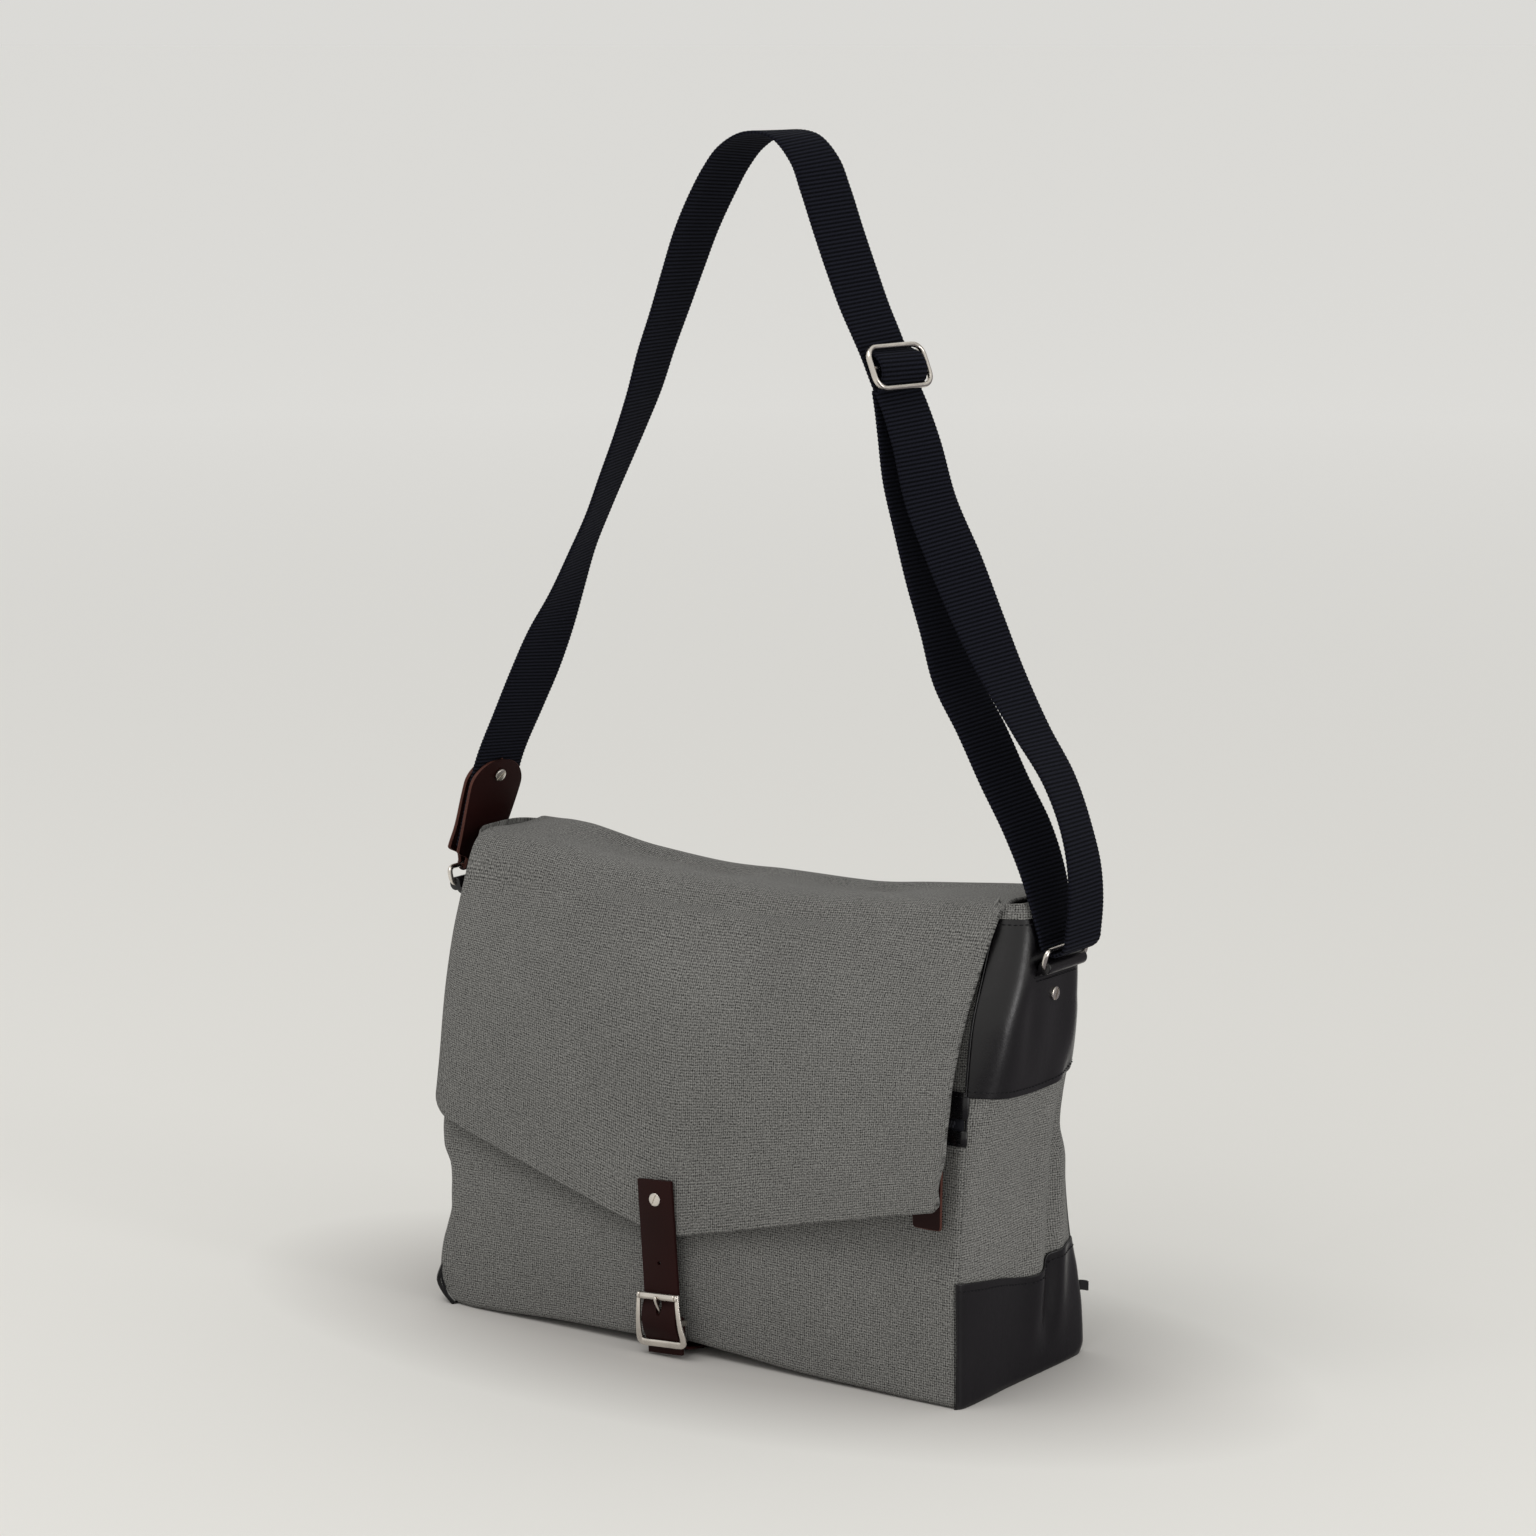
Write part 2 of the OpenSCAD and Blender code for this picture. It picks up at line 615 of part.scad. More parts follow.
// Slider: a rectangular wire frame with a centre bar, on a straight stretch of the strap
slider_at = [98, 0, 594];
slider_turn = 9;
slider_tip = 24;
slider_half = [web_w / 2 + wire_r + 1.9, 12.6];
slider_bar_x = 4.4;      // its bars lie this far out from its place on the strap
module at_slider() {
    translate(slider_at) rotate([0, 0, -slider_turn]) rotate([0, -slider_tip, 0]) children();
}
module strap_slider() {
    color(nickel)
        at_slider() {
            for (z = [-slider_half[1], 0, slider_half[1]])
                translate([slider_bar_x, 0, z])
                    rotate([90, 0, 0]) cylinder(r = wire_r, h = 2 * slider_half[0], center = true);
            for (side = [-1, 1], end = [-1, 1])
                translate([slider_bar_x, side * slider_half[0], 0]) {
                    cylinder(r = wire_r, h = 2 * slider_half[1], center = true);
                    translate([0, 0, end * slider_half[1]]) sphere(wire_r);
                }
        }
}
module strap_hump() {
    color(web_navy)
        at_slider()
            rotate([90, 0, 0])
                linear_extrude(web_w - 0.6, center = true)
                    polygon([
                        [1.2, 10.6], [2.6, 10.6], [7.6, 7], [8.6, 0], [7.6, -7], [2.6, -10.6], [1.2, -10.6],
                        [1.2, -9.2], [5.9, -6], [6.6, 0], [5.9, 6], [1.2, 9.2]
                    ]);
}

front_panel();
pocket_panel();
zip_tape();
zip_teeth();
zip_slider();
zip_pull();
zip_pull_screw();
back_panel();
gusset_right();
gusset_left();
top_patch_right();
top_patch_left();
base_patch_right();
base_patch_left();
rim_binding_right();
rim_binding_left();
base_panel();
base_board();
label_tab();
anchor_patch();
ring_loop_right();
ring_loop_left();
loop_screw_right();
loop_screw_left();
flap_top();
flap_top_facing();
flap_front();
flap_front_facing();
billet_top();
billet_screw();
billet();
anchor_strap();
buckle_frame();
buckle_roller();
buckle_prong();
ring_right();
ring_left();
strap_tab();
strap_tab_screw();
strap_left();
strap_top();
strap_right();
strap_outer();
strap_turn();
strap_inner();
strap_hump();
strap_slider();
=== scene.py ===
"""The messenger bag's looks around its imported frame. Lengths in the shape code are millimetres."""

import math

import bpy
import numpy as np
from mathutils import Matrix, Vector, noise


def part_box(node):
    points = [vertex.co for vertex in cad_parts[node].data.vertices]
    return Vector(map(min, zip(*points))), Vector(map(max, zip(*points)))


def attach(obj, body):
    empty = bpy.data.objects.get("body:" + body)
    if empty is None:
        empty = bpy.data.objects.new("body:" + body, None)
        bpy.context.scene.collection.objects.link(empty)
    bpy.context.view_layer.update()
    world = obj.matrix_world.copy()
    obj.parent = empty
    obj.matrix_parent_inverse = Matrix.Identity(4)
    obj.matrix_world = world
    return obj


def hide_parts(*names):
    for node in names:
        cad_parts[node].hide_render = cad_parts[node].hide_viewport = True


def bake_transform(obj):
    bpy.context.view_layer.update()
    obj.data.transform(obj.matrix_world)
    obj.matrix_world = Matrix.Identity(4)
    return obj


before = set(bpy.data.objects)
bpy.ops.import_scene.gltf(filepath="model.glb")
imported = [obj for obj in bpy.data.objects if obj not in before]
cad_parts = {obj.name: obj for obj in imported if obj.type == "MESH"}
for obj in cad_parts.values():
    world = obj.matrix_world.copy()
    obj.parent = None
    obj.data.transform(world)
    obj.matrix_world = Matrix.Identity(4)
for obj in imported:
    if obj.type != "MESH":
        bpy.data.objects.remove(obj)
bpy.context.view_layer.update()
MM = 0.001
RIB = 2.45


# ---------------------------------------------------------------- curves and tables


def hermite(t, h, a, b, slope_a, slope_b):
    """A cubic between a and b, t of the way along a span of length h, with a slope at each end."""
    out = (1 + 2 * t) * (1 - t) ** 2 * a + t * (1 - t) ** 2 * h * slope_a
    return out + t * t * (3 - 2 * t) * b - t * t * (1 - t) * h * slope_b


def smooth(table):
    """A smooth function through [place, value] pairs that doesn't overshoot them."""
    xs = np.array([p[0] for p in table], float)
    ys = np.array([p[1] for p in table], float)
    h = np.diff(xs)
    d = np.diff(ys) / h
    m = np.empty(len(xs))
    m[0], m[-1] = d[0], d[-1]
    for i in range(1, len(xs) - 1):
        turning = d[i - 1] * d[i] <= 0
        m[i] = 0 if turning else 2 * d[i - 1] * d[i] / (d[i - 1] + d[i])

    def value(x):
        x = np.clip(np.asarray(x, float), xs[0], xs[-1])
        i = np.clip(np.searchsorted(xs, x) - 1, 0, len(h) - 1)
        return hermite((x - xs[i]) / h[i], h[i], ys[i], ys[i + 1], m[i], m[i + 1])

    return value


def through(points, step):
    """Points a step apart on a smooth curve through the given ones, any number of values each."""
    p = np.array(points, float)
    at = lengths_along(p[:, :3])
    fine = np.linspace(0, at[-1], max(8, int(at[-1] / step) + 1))
    m = np.gradient(p, at, axis=0)
    i = np.clip(np.searchsorted(at, fine) - 1, 0, len(at) - 2)
    h = (at[i + 1] - at[i])[:, None]
    return hermite((fine - at[i])[:, None] / h, h, p[i], p[i + 1], m[i], m[i + 1])


def lengths_along(path):
    """How far each point of a path lies from its start."""
    return np.concatenate([[0], np.cumsum(np.linalg.norm(np.diff(path, axis=0), axis=1))])


def steps(n, edge=0.004):
    """0 to 1 in n steps, with a narrow step at each end to keep the edges crisp."""
    return np.concatenate([[0, edge], np.linspace(0, 1, n + 1)[1:-1], [1 - edge, 1]])


def step_up(x, low, high):
    t = np.clip((np.asarray(x, float) - low) / (high - low), 0, 1)
    return t * t * (3 - 2 * t)


def bump(x, middle, width):
    return np.exp(-(((np.asarray(x, float) - middle) / width) ** 2))


def crumple(points, normals, amount, size, seed):
    """Soft uneven waves, as handling leaves in cloth: amount mm high and size mm across."""
    flat = points.reshape(-1, 3)
    place = Vector((seed * 17.3, seed * 5.1, seed * 9.7))
    waves = [noise.noise(Vector(p) / size + place) for p in flat]
    return points + normals * (np.array(waves).reshape(points.shape[:-1])[..., None] * amount)


# ---------------------------------------------------------------- meshes


def make(name, verts, faces, material, st=None, sharp=None):
    mesh = bpy.data.meshes.new(name)
    mesh.from_pydata([tuple(v) for v in np.asarray(verts) * MM], [], faces)
    mesh.polygons.foreach_set("use_smooth", [True] * len(mesh.polygons))
    if st is not None:
        attribute = mesh.attributes.new("st", "FLOAT_VECTOR", "POINT")
        rows = np.zeros((len(verts), 3), np.float32)
        rows[:, : st.shape[1]] = st
        attribute.data.foreach_set("vector", rows.ravel())
    mesh.validate()
    ob = bpy.data.objects.new(name, mesh)
    bpy.context.scene.collection.objects.link(ob)
    mesh.materials.append(material)
    if sharp:
        mesh.set_sharp_from_angle(angle=math.radians(sharp))
    return ob


def grid_faces(nu, nv, first=0, flip=False):
    r, c = np.meshgrid(np.arange(nu - 1), np.arange(nv - 1), indexing="ij")
    a = (first + r * nv + c).ravel()
    quads = np.stack([a, a + 1, a + nv + 1, a + nv], 1)
    return (quads[:, ::-1] if flip else quads).tolist()


def tube_faces(n, m, closed=False):
    """Quads round a tube of n rings of m points, with its two ends capped, or joined if closed."""
    faces = []
    for r in range(n if closed else n - 1):
        for c in range(m):
            far = (r + 1) % n * m
            faces.append([r * m + c, far + c, far + (c + 1) % m, r * m + (c + 1) % m])
    if not closed:
        faces += [list(range(m)), [(n - 1) * m + c for c in range(m - 1, -1, -1)]]
    return faces


def border(nu, nv):
    """The [row, column] pairs round the edge of a grid, once round."""
    loop = [(0, c) for c in range(nv)] + [(r, nv - 1) for r in range(1, nu)]
    return loop + [(nu - 1, c) for c in range(nv - 2, -1, -1)] + [(r, 0) for r in range(nu - 2, 0, -1)]


def grid_normals(p):
    n = np.cross(np.gradient(p, axis=1), np.gradient(p, axis=0))
    return n / np.maximum(np.linalg.norm(n, axis=2, keepdims=True), 1e-9)


def arc_grid(p):
    """How far each point of a grid lies along its columns and rows, in mm of cloth."""
    s = np.linalg.norm(np.diff(p, axis=1), axis=2).mean(0)
    t = np.linalg.norm(np.diff(p, axis=0), axis=2).mean(1)
    s, t = np.concatenate([[0], np.cumsum(s)]), np.concatenate([[0], np.cumsum(t)])
    return np.stack(np.meshgrid(s, t), 2)


def shell(name, p, thick, material, flat_rows=(), st=None, normals=None):
    """A closed sheet: p holds its outer face as rows upwards and columns to the right, seen from
    outside. Its edges are rounded, apart from the flat_rows, where another piece carries on."""
    nu, nv = p.shape[:2]
    n = grid_normals(p) if normals is None else normals
    inner = p - n * thick
    st = arc_grid(p) if st is None else st
    loop = border(nu, nv)
    middle = []
    for r, c in loop:
        q = (p[r, c] + inner[r, c]) / 2
        out = np.zeros(3)
        if r in (0, nu - 1) and r not in flat_rows:
            out += p[r, c] - p[2 if r == 0 else nu - 3, c]
        if c in (0, nv - 1):
            out += p[r, c] - p[r, 2 if c == 0 else nv - 3]
        size = np.linalg.norm(out)
        middle.append(q + (out / size * thick * 0.38 if size > 1e-9 else 0))
    verts = np.concatenate([p.reshape(-1, 3), inner.reshape(-1, 3), np.array(middle)])
    verts[:, 2] = np.maximum(verts[:, 2], 0.1)
    faces = grid_faces(nu, nv) + grid_faces(nu, nv, nu * nv, flip=True)
    m = len(loop)
    for k in range(m):
        a, b = (loop[j][0] * nv + loop[j][1] for j in (k, (k + 1) % m))
        ma, mb = 2 * nu * nv + k, 2 * nu * nv + (k + 1) % m
        faces.append([b, a, ma, mb])
        faces.append([mb, ma, nu * nv + a, nu * nv + b])
    flat_st = st.reshape(-1, 2)
    edge_st = np.array([st[r, c] for r, c in loop])
    ob = make(name, verts, faces, material, np.concatenate([flat_st, flat_st, edge_st]))
    for row in flat_rows:
        row = row % nu
        ends = {row * nv + c for c in range(nv)}
        ends |= {nu * nv + v for v in ends}
        for edge in ob.data.edges:
            if edge.vertices[0] in ends and edge.vertices[1] in ends:
                edge.use_edge_sharp = True
    return ob


def frames_along(path, up=None):
    """Tangent, side and up vectors along a path; up is a fixed hint or one vector a point."""
    path = np.asarray(path, float)
    t = np.gradient(path, axis=0)
    t /= np.linalg.norm(t, axis=1, keepdims=True)
    if up is None:
        hint = np.array([0.0, 0, 1]) if abs(t[0][2]) < 0.9 else np.array([1.0, 0, 0])
        ups = [hint]
        for k in range(1, len(path)):
            ups.append(ups[-1])
            ups[-1] = ups[-1] - t[k] * (ups[-1] @ t[k])
            ups[-1] /= np.linalg.norm(ups[-1])
        up = np.array(ups)
    up = np.broadcast_to(np.asarray(up, float), path.shape)
    side = np.cross(t, up)
    side /= np.linalg.norm(side, axis=1, keepdims=True)
    return t, side, np.cross(side, t)


def sweep(name, path, section, material, up=None, closed=False, sharp=None, scale=None):
    """A section of [side, up] points carried along a path; closed joins its two ends."""
    path = np.asarray(path, float)
    if closed:
        ring = np.concatenate([path[-2:], path, path[:2]])
        t, side, high = (v[2:-2] for v in frames_along(ring, up))
    else:
        t, side, high = frames_along(path, up)
    section = np.asarray(section, float)
    many = section if section.ndim == 3 else np.broadcast_to(section, (len(path), *section.shape))
    if scale is not None:
        many = many * np.asarray(scale)[:, None, None]
    verts = path[:, None] + many[..., :1] * side[:, None] + many[..., 1:] * high[:, None]
    faces = tube_faces(*verts.shape[:2], closed)
    across = lengths_along(section.reshape(-1, 2)[: verts.shape[1]])
    st = np.stack(np.meshgrid(across, lengths_along(path)), 2).reshape(-1, 2)
    return make(name, verts.reshape(-1, 3), faces, material, st, sharp)


def circle(r, n=14, flat=1.0):
    a = np.linspace(0, 2 * math.pi, n, endpoint=False)
    return np.stack([r * np.cos(a), flat * r * np.sin(a)], 1)


def round_box(w, h, r, n=4):
    """A rectangle w by h with rounded corners, as points anticlockwise."""
    out = []
    for cx, cy, start in ((1, 1, 0), (-1, 1, 90), (-1, -1, 180), (1, -1, 270)):
        for a in np.radians(np.linspace(start, start + 90, n)):
            out.append([cx * (w / 2 - r) + r * math.cos(a), cy * (h / 2 - r) + r * math.sin(a)])
    return np.array(out)


def placed(points, origin, x, y, z):
    return np.asarray(origin) + np.asarray(points, float) @ np.array([x, y, z], float)


def joined(name, obs):
    """Several meshes as one object."""
    bpy.ops.object.select_all(action="DESELECT")
    for o in obs:
        o.select_set(True)
    bpy.context.view_layer.objects.active = obs[0]
    bpy.ops.object.join()
    obs[0].name = name
    obs[0].data.name = name
    return obs[0]


STITCH_BOW = ((0, 0.45, -0.7), (0.2, 0.95, 0.4), (0.5, 1, 0.9), (0.8, 0.95, 0.4), (1, 0.45, -0.7))


def stitches(name, path, normals, material, pitch=3.4, length=2.5, r=0.33, lift=0.1):
    """A row of sewing thread on a surface: each stitch is a low bow that dips in at its ends."""
    path, normals = np.asarray(path, float), np.asarray(normals, float)
    at = lengths_along(path)
    verts, faces = [], []

    def place(s):
        return np.array([np.interp(s, at, path[:, k]) for k in range(3)])

    for start in np.arange(pitch / 2, at[-1] - length, pitch):
        a, b = place(start), place(start + length)
        n = np.array([np.interp(start, at, normals[:, k]) for k in range(3)])
        n /= np.linalg.norm(n)
        t = (b - a) / max(np.linalg.norm(b - a), 1e-9)
        side = np.cross(t, n)
        first = len(verts)
        for u, wide, high in STITCH_BOW:
            middle = a + (b - a) * u + n * (high * r + lift)
            for k in range(6):
                c, s = math.cos(k * math.pi / 3), math.sin(k * math.pi / 3)
                verts.append(middle + side * (r * wide * c) + n * (r * wide * s))
        for row in range(4):
            for k in range(6):
                q = first + row * 6
                faces.append([q + k, q + (k + 1) % 6, q + 6 + (k + 1) % 6, q + 6 + k])
        faces.append([first + k for k in range(5, -1, -1)])
        faces.append([first + 24 + k for k in range(6)])
    return make(name, np.array(verts), faces, material)


def row_on(p, r=None, c=None):
    """A row or column of a grid, with its outward normals, for a line of stitches."""
    n = grid_normals(p)
    return (p[r], n[r]) if r is not None else (p[:, c], n[:, c])


# ---------------------------------------------------------------- materials


class Shader:
    """Builds one material's nodes."""

    def __init__(self, name, base, rough, metal=0.0, spec=0.5):
        self.material = bpy.data.materials.new(name)
        self.material.use_nodes = True
        self.tree = self.material.node_tree
        self.bsdf = self.tree.nodes["Principled BSDF"]
        self.bsdf.inputs["Base Color"].default_value = (*base, 1)
        self.bsdf.inputs["Roughness"].default_value = rough
        self.bsdf.inputs["Metallic"].default_value = metal
        self.bsdf.inputs["Specular IOR Level"].default_value = spec
        self.material.diffuse_color = (*base, 1)

    def node(self, kind, inputs=(), **settings):
        made = self.tree.nodes.new(kind)
        for key, value in settings.items():
            setattr(made, key, value)
        for key, value in dict(inputs).items():
            self.put(made.inputs[key], value)
        return made

    def put(self, socket, value):
        if isinstance(value, bpy.types.NodeSocket):
            self.tree.links.new(value, socket)
        else:
            socket.default_value = value

    def math(self, kind, a, b=0.0):
        return self.node("ShaderNodeMath", {0: a, 1: b}, operation=kind).outputs[0]

    def scaled(self, vector, by, shift=(0, 0, 0)):
        mapping = self.node("ShaderNodeMapping", {"Vector": vector, "Scale": by, "Location": shift})
        return mapping.outputs[0]

    def noise(self, vector, scale, detail=3.0, rough=0.5, twist=0.0):
        values = {"Vector": vector, "Scale": scale, "Detail": detail}
        values |= {"Roughness": rough, "Distortion": twist}
        return self.node("ShaderNodeTexNoise", values).outputs["Fac"]

    def fit(self, value, low, high, to_low, to_high):
        values = {0: value, 1: low, 2: high, 3: to_low, 4: to_high}
        return self.node("ShaderNodeMapRange", values).outputs[0]

    def mix(self, amount, a, b, kind="MIX"):
        mixed = self.node("ShaderNodeMix", data_type="RGBA", blend_type=kind)
        for socket, value in zip((mixed.inputs[0], mixed.inputs[6], mixed.inputs[7]), (amount, a, b)):
            self.put(socket, value)
        return mixed.outputs[2]

    def bump(self, height, strength, distance_mm, under=None):
        values = {"Height": height, "Strength": strength, "Distance": distance_mm * MM}
        if under is not None:
            values["Normal"] = under
        return self.node("ShaderNodeBump", values).outputs[0]

    def gray_of(self, value):
        """One value as a colour."""
        return self.node("ShaderNodeCombineColor", {0: value, 1: value, 2: value}).outputs[0]

    def length(self, vector):
        return self.node("ShaderNodeVectorMath", {0: vector}, operation="LENGTH").outputs["Value"]

    def cloth_place(self):
        """Millimetres across and along the cloth."""
        return self.node("ShaderNodeAttribute", attribute_name="st").outputs["Vector"]

    def place(self):
        return self.node("ShaderNodeTexCoord").outputs["Object"]

    def finish(self, color=None, rough=None, normal=None):
        for key, value in (("Base Color", color), ("Roughness", rough), ("Normal", normal)):
            if value is not None:
                self.put(self.bsdf.inputs[key], value)
        return self.material


def gray(rgb, k):
    """A colour made k times as bright."""
    return tuple(c * k for c in rgb) + (1.0,)


def canvas(name, rgb, pitch=1.5):
    """Coarse plain-weave duck: staggered thread tops with painted shade between them, slubs along both
    threads, faded patches.
    """
    s = Shader(name, rgb, 0.92, spec=0.15)
    st = s.cloth_place()
    wander = s.node("ShaderNodeTexNoise", {"Vector": st, "Scale": 0.09, "Detail": 2.0}).outputs["Color"]
    moved = s.node("ShaderNodeVectorMath", {0: wander, 1: (1.6, 1.6, 0)}, operation="MULTIPLY_ADD")
    s.put(moved.inputs[2], st)
    xyz = s.node("ShaderNodeSeparateXYZ", {0: moved.outputs[0]})
    turn = 2 * math.pi / pitch
    a = s.math("COSINE", s.math("MULTIPLY", xyz.outputs[0], turn))
    b = s.math("COSINE", s.math("MULTIPLY", xyz.outputs[1], turn))
    weave = s.fit(s.math("ADD", a, b), -2, 2, 0, 1)
    warp = s.noise(s.scaled(st, (0.75, 0.07, 1)), 1.0, 2, 0.6)
    weft = s.noise(s.scaled(st, (0.07, 0.75, 1), (31, 7, 0)), 1.0, 2, 0.6)
    slub = s.math("ADD", warp, weft)
    speck = s.noise(s.scaled(st, (0.95, 0.95, 1), (5, 11, 0)), 1.0, 1, 0.6)
    grain = s.math("ADD", s.math("MULTIPLY", speck, 2.8), s.math("MULTIPLY", slub, 0.5))
    height = s.math("ADD", s.math("MULTIPLY", weave, 1.1), grain)
    # painted shade: the colour follows the weave's height, darker between the threads and lighter on their
    # tops, over the yarn's own slubs and specks
    painted_shade_and_tone = s.fit(height, 1.6, 3.4, 0.08, 1.92)
    patch = s.fit(s.noise(st, 0.011, 3, 0.55), 0.3, 0.7, 0.93, 1.06)
    value = s.math("MULTIPLY", painted_shade_and_tone, patch)
    color = s.mix(1.0, (*rgb, 1), s.gray_of(value), "MULTIPLY")
    s.bsdf.inputs["Sheen Weight"].default_value = 0.08
    s.bsdf.inputs["Sheen Roughness"].default_value = 0.5
    return s.finish(color, None, s.bump(height, 0.6, 0.4))


def leather(name, rgb, rough, crease=0.5, warm=(1.25, 1.0, 0.95), spec=0.3):
    """Smooth finished hide: fine pores, faint creases, slightly duller where it is handled."""
    s = Shader(name, rgb, rough, spec=spec)
    at = s.place()
    cells = s.node("ShaderNodeTexVoronoi", {"Vector": at, "Scale": 900.0}, feature="F1")
    pores = cells.outputs["Distance"]
    grain = s.noise(at, 420, 4, 0.6)
    folds = s.noise(s.scaled(at, (1, 1, 0.45)), 46, 3, 0.55, 0.6)
    cloud = s.noise(at, 14, 3, 0.5)
    height = s.math("ADD", s.math("MULTIPLY", pores, 0.5), grain)
    normal = s.bump(height, 0.16, 0.25, s.bump(folds, crease * 0.25, 1.2))
    worn = (*(c * w for c, w in zip(rgb, warm)), 1)
    color = s.mix(s.fit(cloud, 0.35, 0.7, 0, 1), gray(rgb, 0.82), worn)
    wear = s.math("ADD", s.math("MULTIPLY", cloud, 0.7), s.math("MULTIPLY", grain, 0.5))
    return s.finish(color, s.fit(wear, 0.35, 0.85, rough - 0.07, rough + 0.1), normal)


def cut_edge(name, rgb):
    """Raw cut edge of a hide: layered fibres along it."""
    s = Shader(name, rgb, 0.75, spec=0.3)
    fibre = s.noise(s.place(), 1300, 3, 0.7)
    color = s.mix(s.fit(fibre, 0.3, 0.7, 0, 1), gray(rgb, 0.6), gray(rgb, 1.35))
    return s.finish(color, None, s.bump(fibre, 0.5, 0.3))


def webbing(name, rgb):
    """Heavy cotton webbing: the ribs are in the mesh, and the yarns across them are here, with painted shade
    in the rib valleys and painted light on the rib tops.
    """
    s = Shader(name, rgb, 0.92, spec=0.06)
    st = s.cloth_place()
    xyz = s.node("ShaderNodeSeparateXYZ", {0: st})
    yarn = s.math("COSINE", s.math("MULTIPLY", xyz.outputs[0], 2 * math.pi / 1.3))
    rib = s.math("COSINE", s.math("MULTIPLY", xyz.outputs[1], 2 * math.pi / RIB))
    fuzz = s.noise(s.scaled(st, (1.1, 0.6, 1)), 1.0, 3, 0.7)
    height = s.math("ADD", s.math("MULTIPLY", yarn, 0.12), fuzz)
    height = s.math("SUBTRACT", height, s.math("MULTIPLY", rib, 0.42))
    # painted shade and light: darker in the rib valleys, lighter on the rib tops, over the yarns' own uneven
    # tone
    painted_shade_and_tone = s.fit(height, 0.05, 1.05, 0, 1)
    color = s.mix(painted_shade_and_tone, gray(rgb, 0.08), gray(rgb, 2.3))
    s.bsdf.inputs["Sheen Weight"].default_value = 0.03
    s.bsdf.inputs["Sheen Roughness"].default_value = 0.45
    s.bsdf.inputs["Sheen Tint"].default_value = (0.6, 0.65, 0.8, 1)
    return s.finish(color, None, s.bump(height, 0.6, 0.3))


def metal(name, rgb, rough):
    """Plated metal with hairline wear and a soft uneven polish."""
    s = Shader(name, rgb, rough, metal=1.0)
    at = s.place()
    hair = s.noise(s.scaled(at, (1, 1, 9)), 700, 2, 0.6)
    smear = s.noise(at, 120, 3, 0.6)
    color = s.mix(s.fit(smear, 0.35, 0.75, 0, 1), gray(rgb, 1.0), gray(rgb, 0.8))
    wear = s.math("ADD", s.math("MULTIPLY", hair, 0.4), s.math("MULTIPLY", smear, 0.6))
    value = s.fit(wear, 0.3, 0.75, rough - 0.05, rough + 0.14)
    return s.finish(color, value, s.bump(hair, 0.08, 0.1))


def thread(name, rgb):
    """Sewing thread: plies twisted round each other, with painted shade in the grooves between them."""
    s = Shader(name, rgb, 0.7, spec=0.3)
    values = {"Vector": s.place(), "Scale": 900.0, "Distortion": 1.0}
    ply = s.node("ShaderNodeTexWave", values, bands_direction="DIAGONAL").outputs["Fac"]
    # painted shade: lighter on each ply, darker in the grooves between plies
    color = s.mix(ply, gray(rgb, 0.6), gray(rgb, 1.4))
    return s.finish(color, None, s.bump(ply, 0.4, 0.15))


def nylon(name, rgb, pitch=0.7):
    """Fine close weave, for zip tape and the label, with painted shade between its twill lines."""
    s = Shader(name, rgb, 0.7, spec=0.35)
    st = s.cloth_place()
    xyz = s.node("ShaderNodeSeparateXYZ", {0: st})
    diagonal = s.math("ADD", xyz.outputs[0], xyz.outputs[1])
    twill = s.math("COSINE", s.math("MULTIPLY", diagonal, 2 * math.pi / pitch))
    height = s.math("ADD", s.math("MULTIPLY", twill, 0.4), s.noise(st, 0.7, 2, 0.6))
    # painted shade: lighter on the raised twill lines and darker between them, over the yarn's own uneven
    # tone
    color = s.mix(s.fit(height, 0, 1.1, 0, 1), gray(rgb, 0.55), gray(rgb, 1.6))
    return s.finish(color, None, s.bump(height, 0.4, 0.15))


def board(name, rgb):
    """Pressed fibre board."""
    s = Shader(name, rgb, 0.8, spec=0.3)
    fibre = s.noise(s.place(), 500, 4, 0.7)
    color = s.mix(s.fit(fibre, 0.3, 0.7, 0, 1), gray(rgb, 0.75), gray(rgb, 1.25))
    return s.finish(color, None, s.bump(fibre, 0.3, 0.2))


CANVAS = canvas("canvas_duck", (0.1595, 0.1582, 0.1525))
NAVY = leather("leather_navy", (0.0034, 0.0030, 0.0042), 0.30, 1.0, (1.1, 1.0, 1.0), 0.5)
BROWN = leather("leather_brown", (0.0180, 0.0052, 0.0048), 0.42, 0.35, spec=0.09)
BROWN_EDGE = cut_edge("leather_brown_edge", (0.085, 0.028, 0.020))
WEB = webbing("webbing_navy", (0.0052, 0.0056, 0.0092))
NICKEL = metal("nickel", (0.76, 0.71, 0.65), 0.20)
DARK_THREAD = thread("thread_dark", (0.006, 0.006, 0.008))
GREY_THREAD = thread("thread_grey", (0.13, 0.128, 0.118))
NYLON = nylon("zip_tape_nylon", (0.010, 0.011, 0.017))
LABEL = nylon("label_black", (0.008, 0.008, 0.009), 0.5)
BOARD = board("base_board", (0.03, 0.03, 0.032))


# ---------------------------------------------------------------- the body's shape

# The front's and the rear's y at a height, how far the gussets swell at a height, and how far the
# front edge of the base lifts at an x.
FRONT = smooth([[0, -70], [46, -70.4], [72, -71], [91, -69], [143, -64.2], [180, -61.4], [220, -56],
                [254, -43], [290, -27]])
REAR = smooth([[0, 72], [50, 65.5], [75, 56], [110, 49.4], [165, 44.7], [220, 42], [290, 36]])
BULGE = smooth([[0, 0.5], [75, 3], [130, 7], [180, 13], [220, 18], [252, 20], [272, 18.4],
                [293, 12]])
LIFT = smooth([[-190, 0], [-160, 0.6], [-96, 3.6], [-40, 5.2], [0, 7.6], [28, 5.6], [80, 2.2],
               [137, 0.8], [190, 0]])
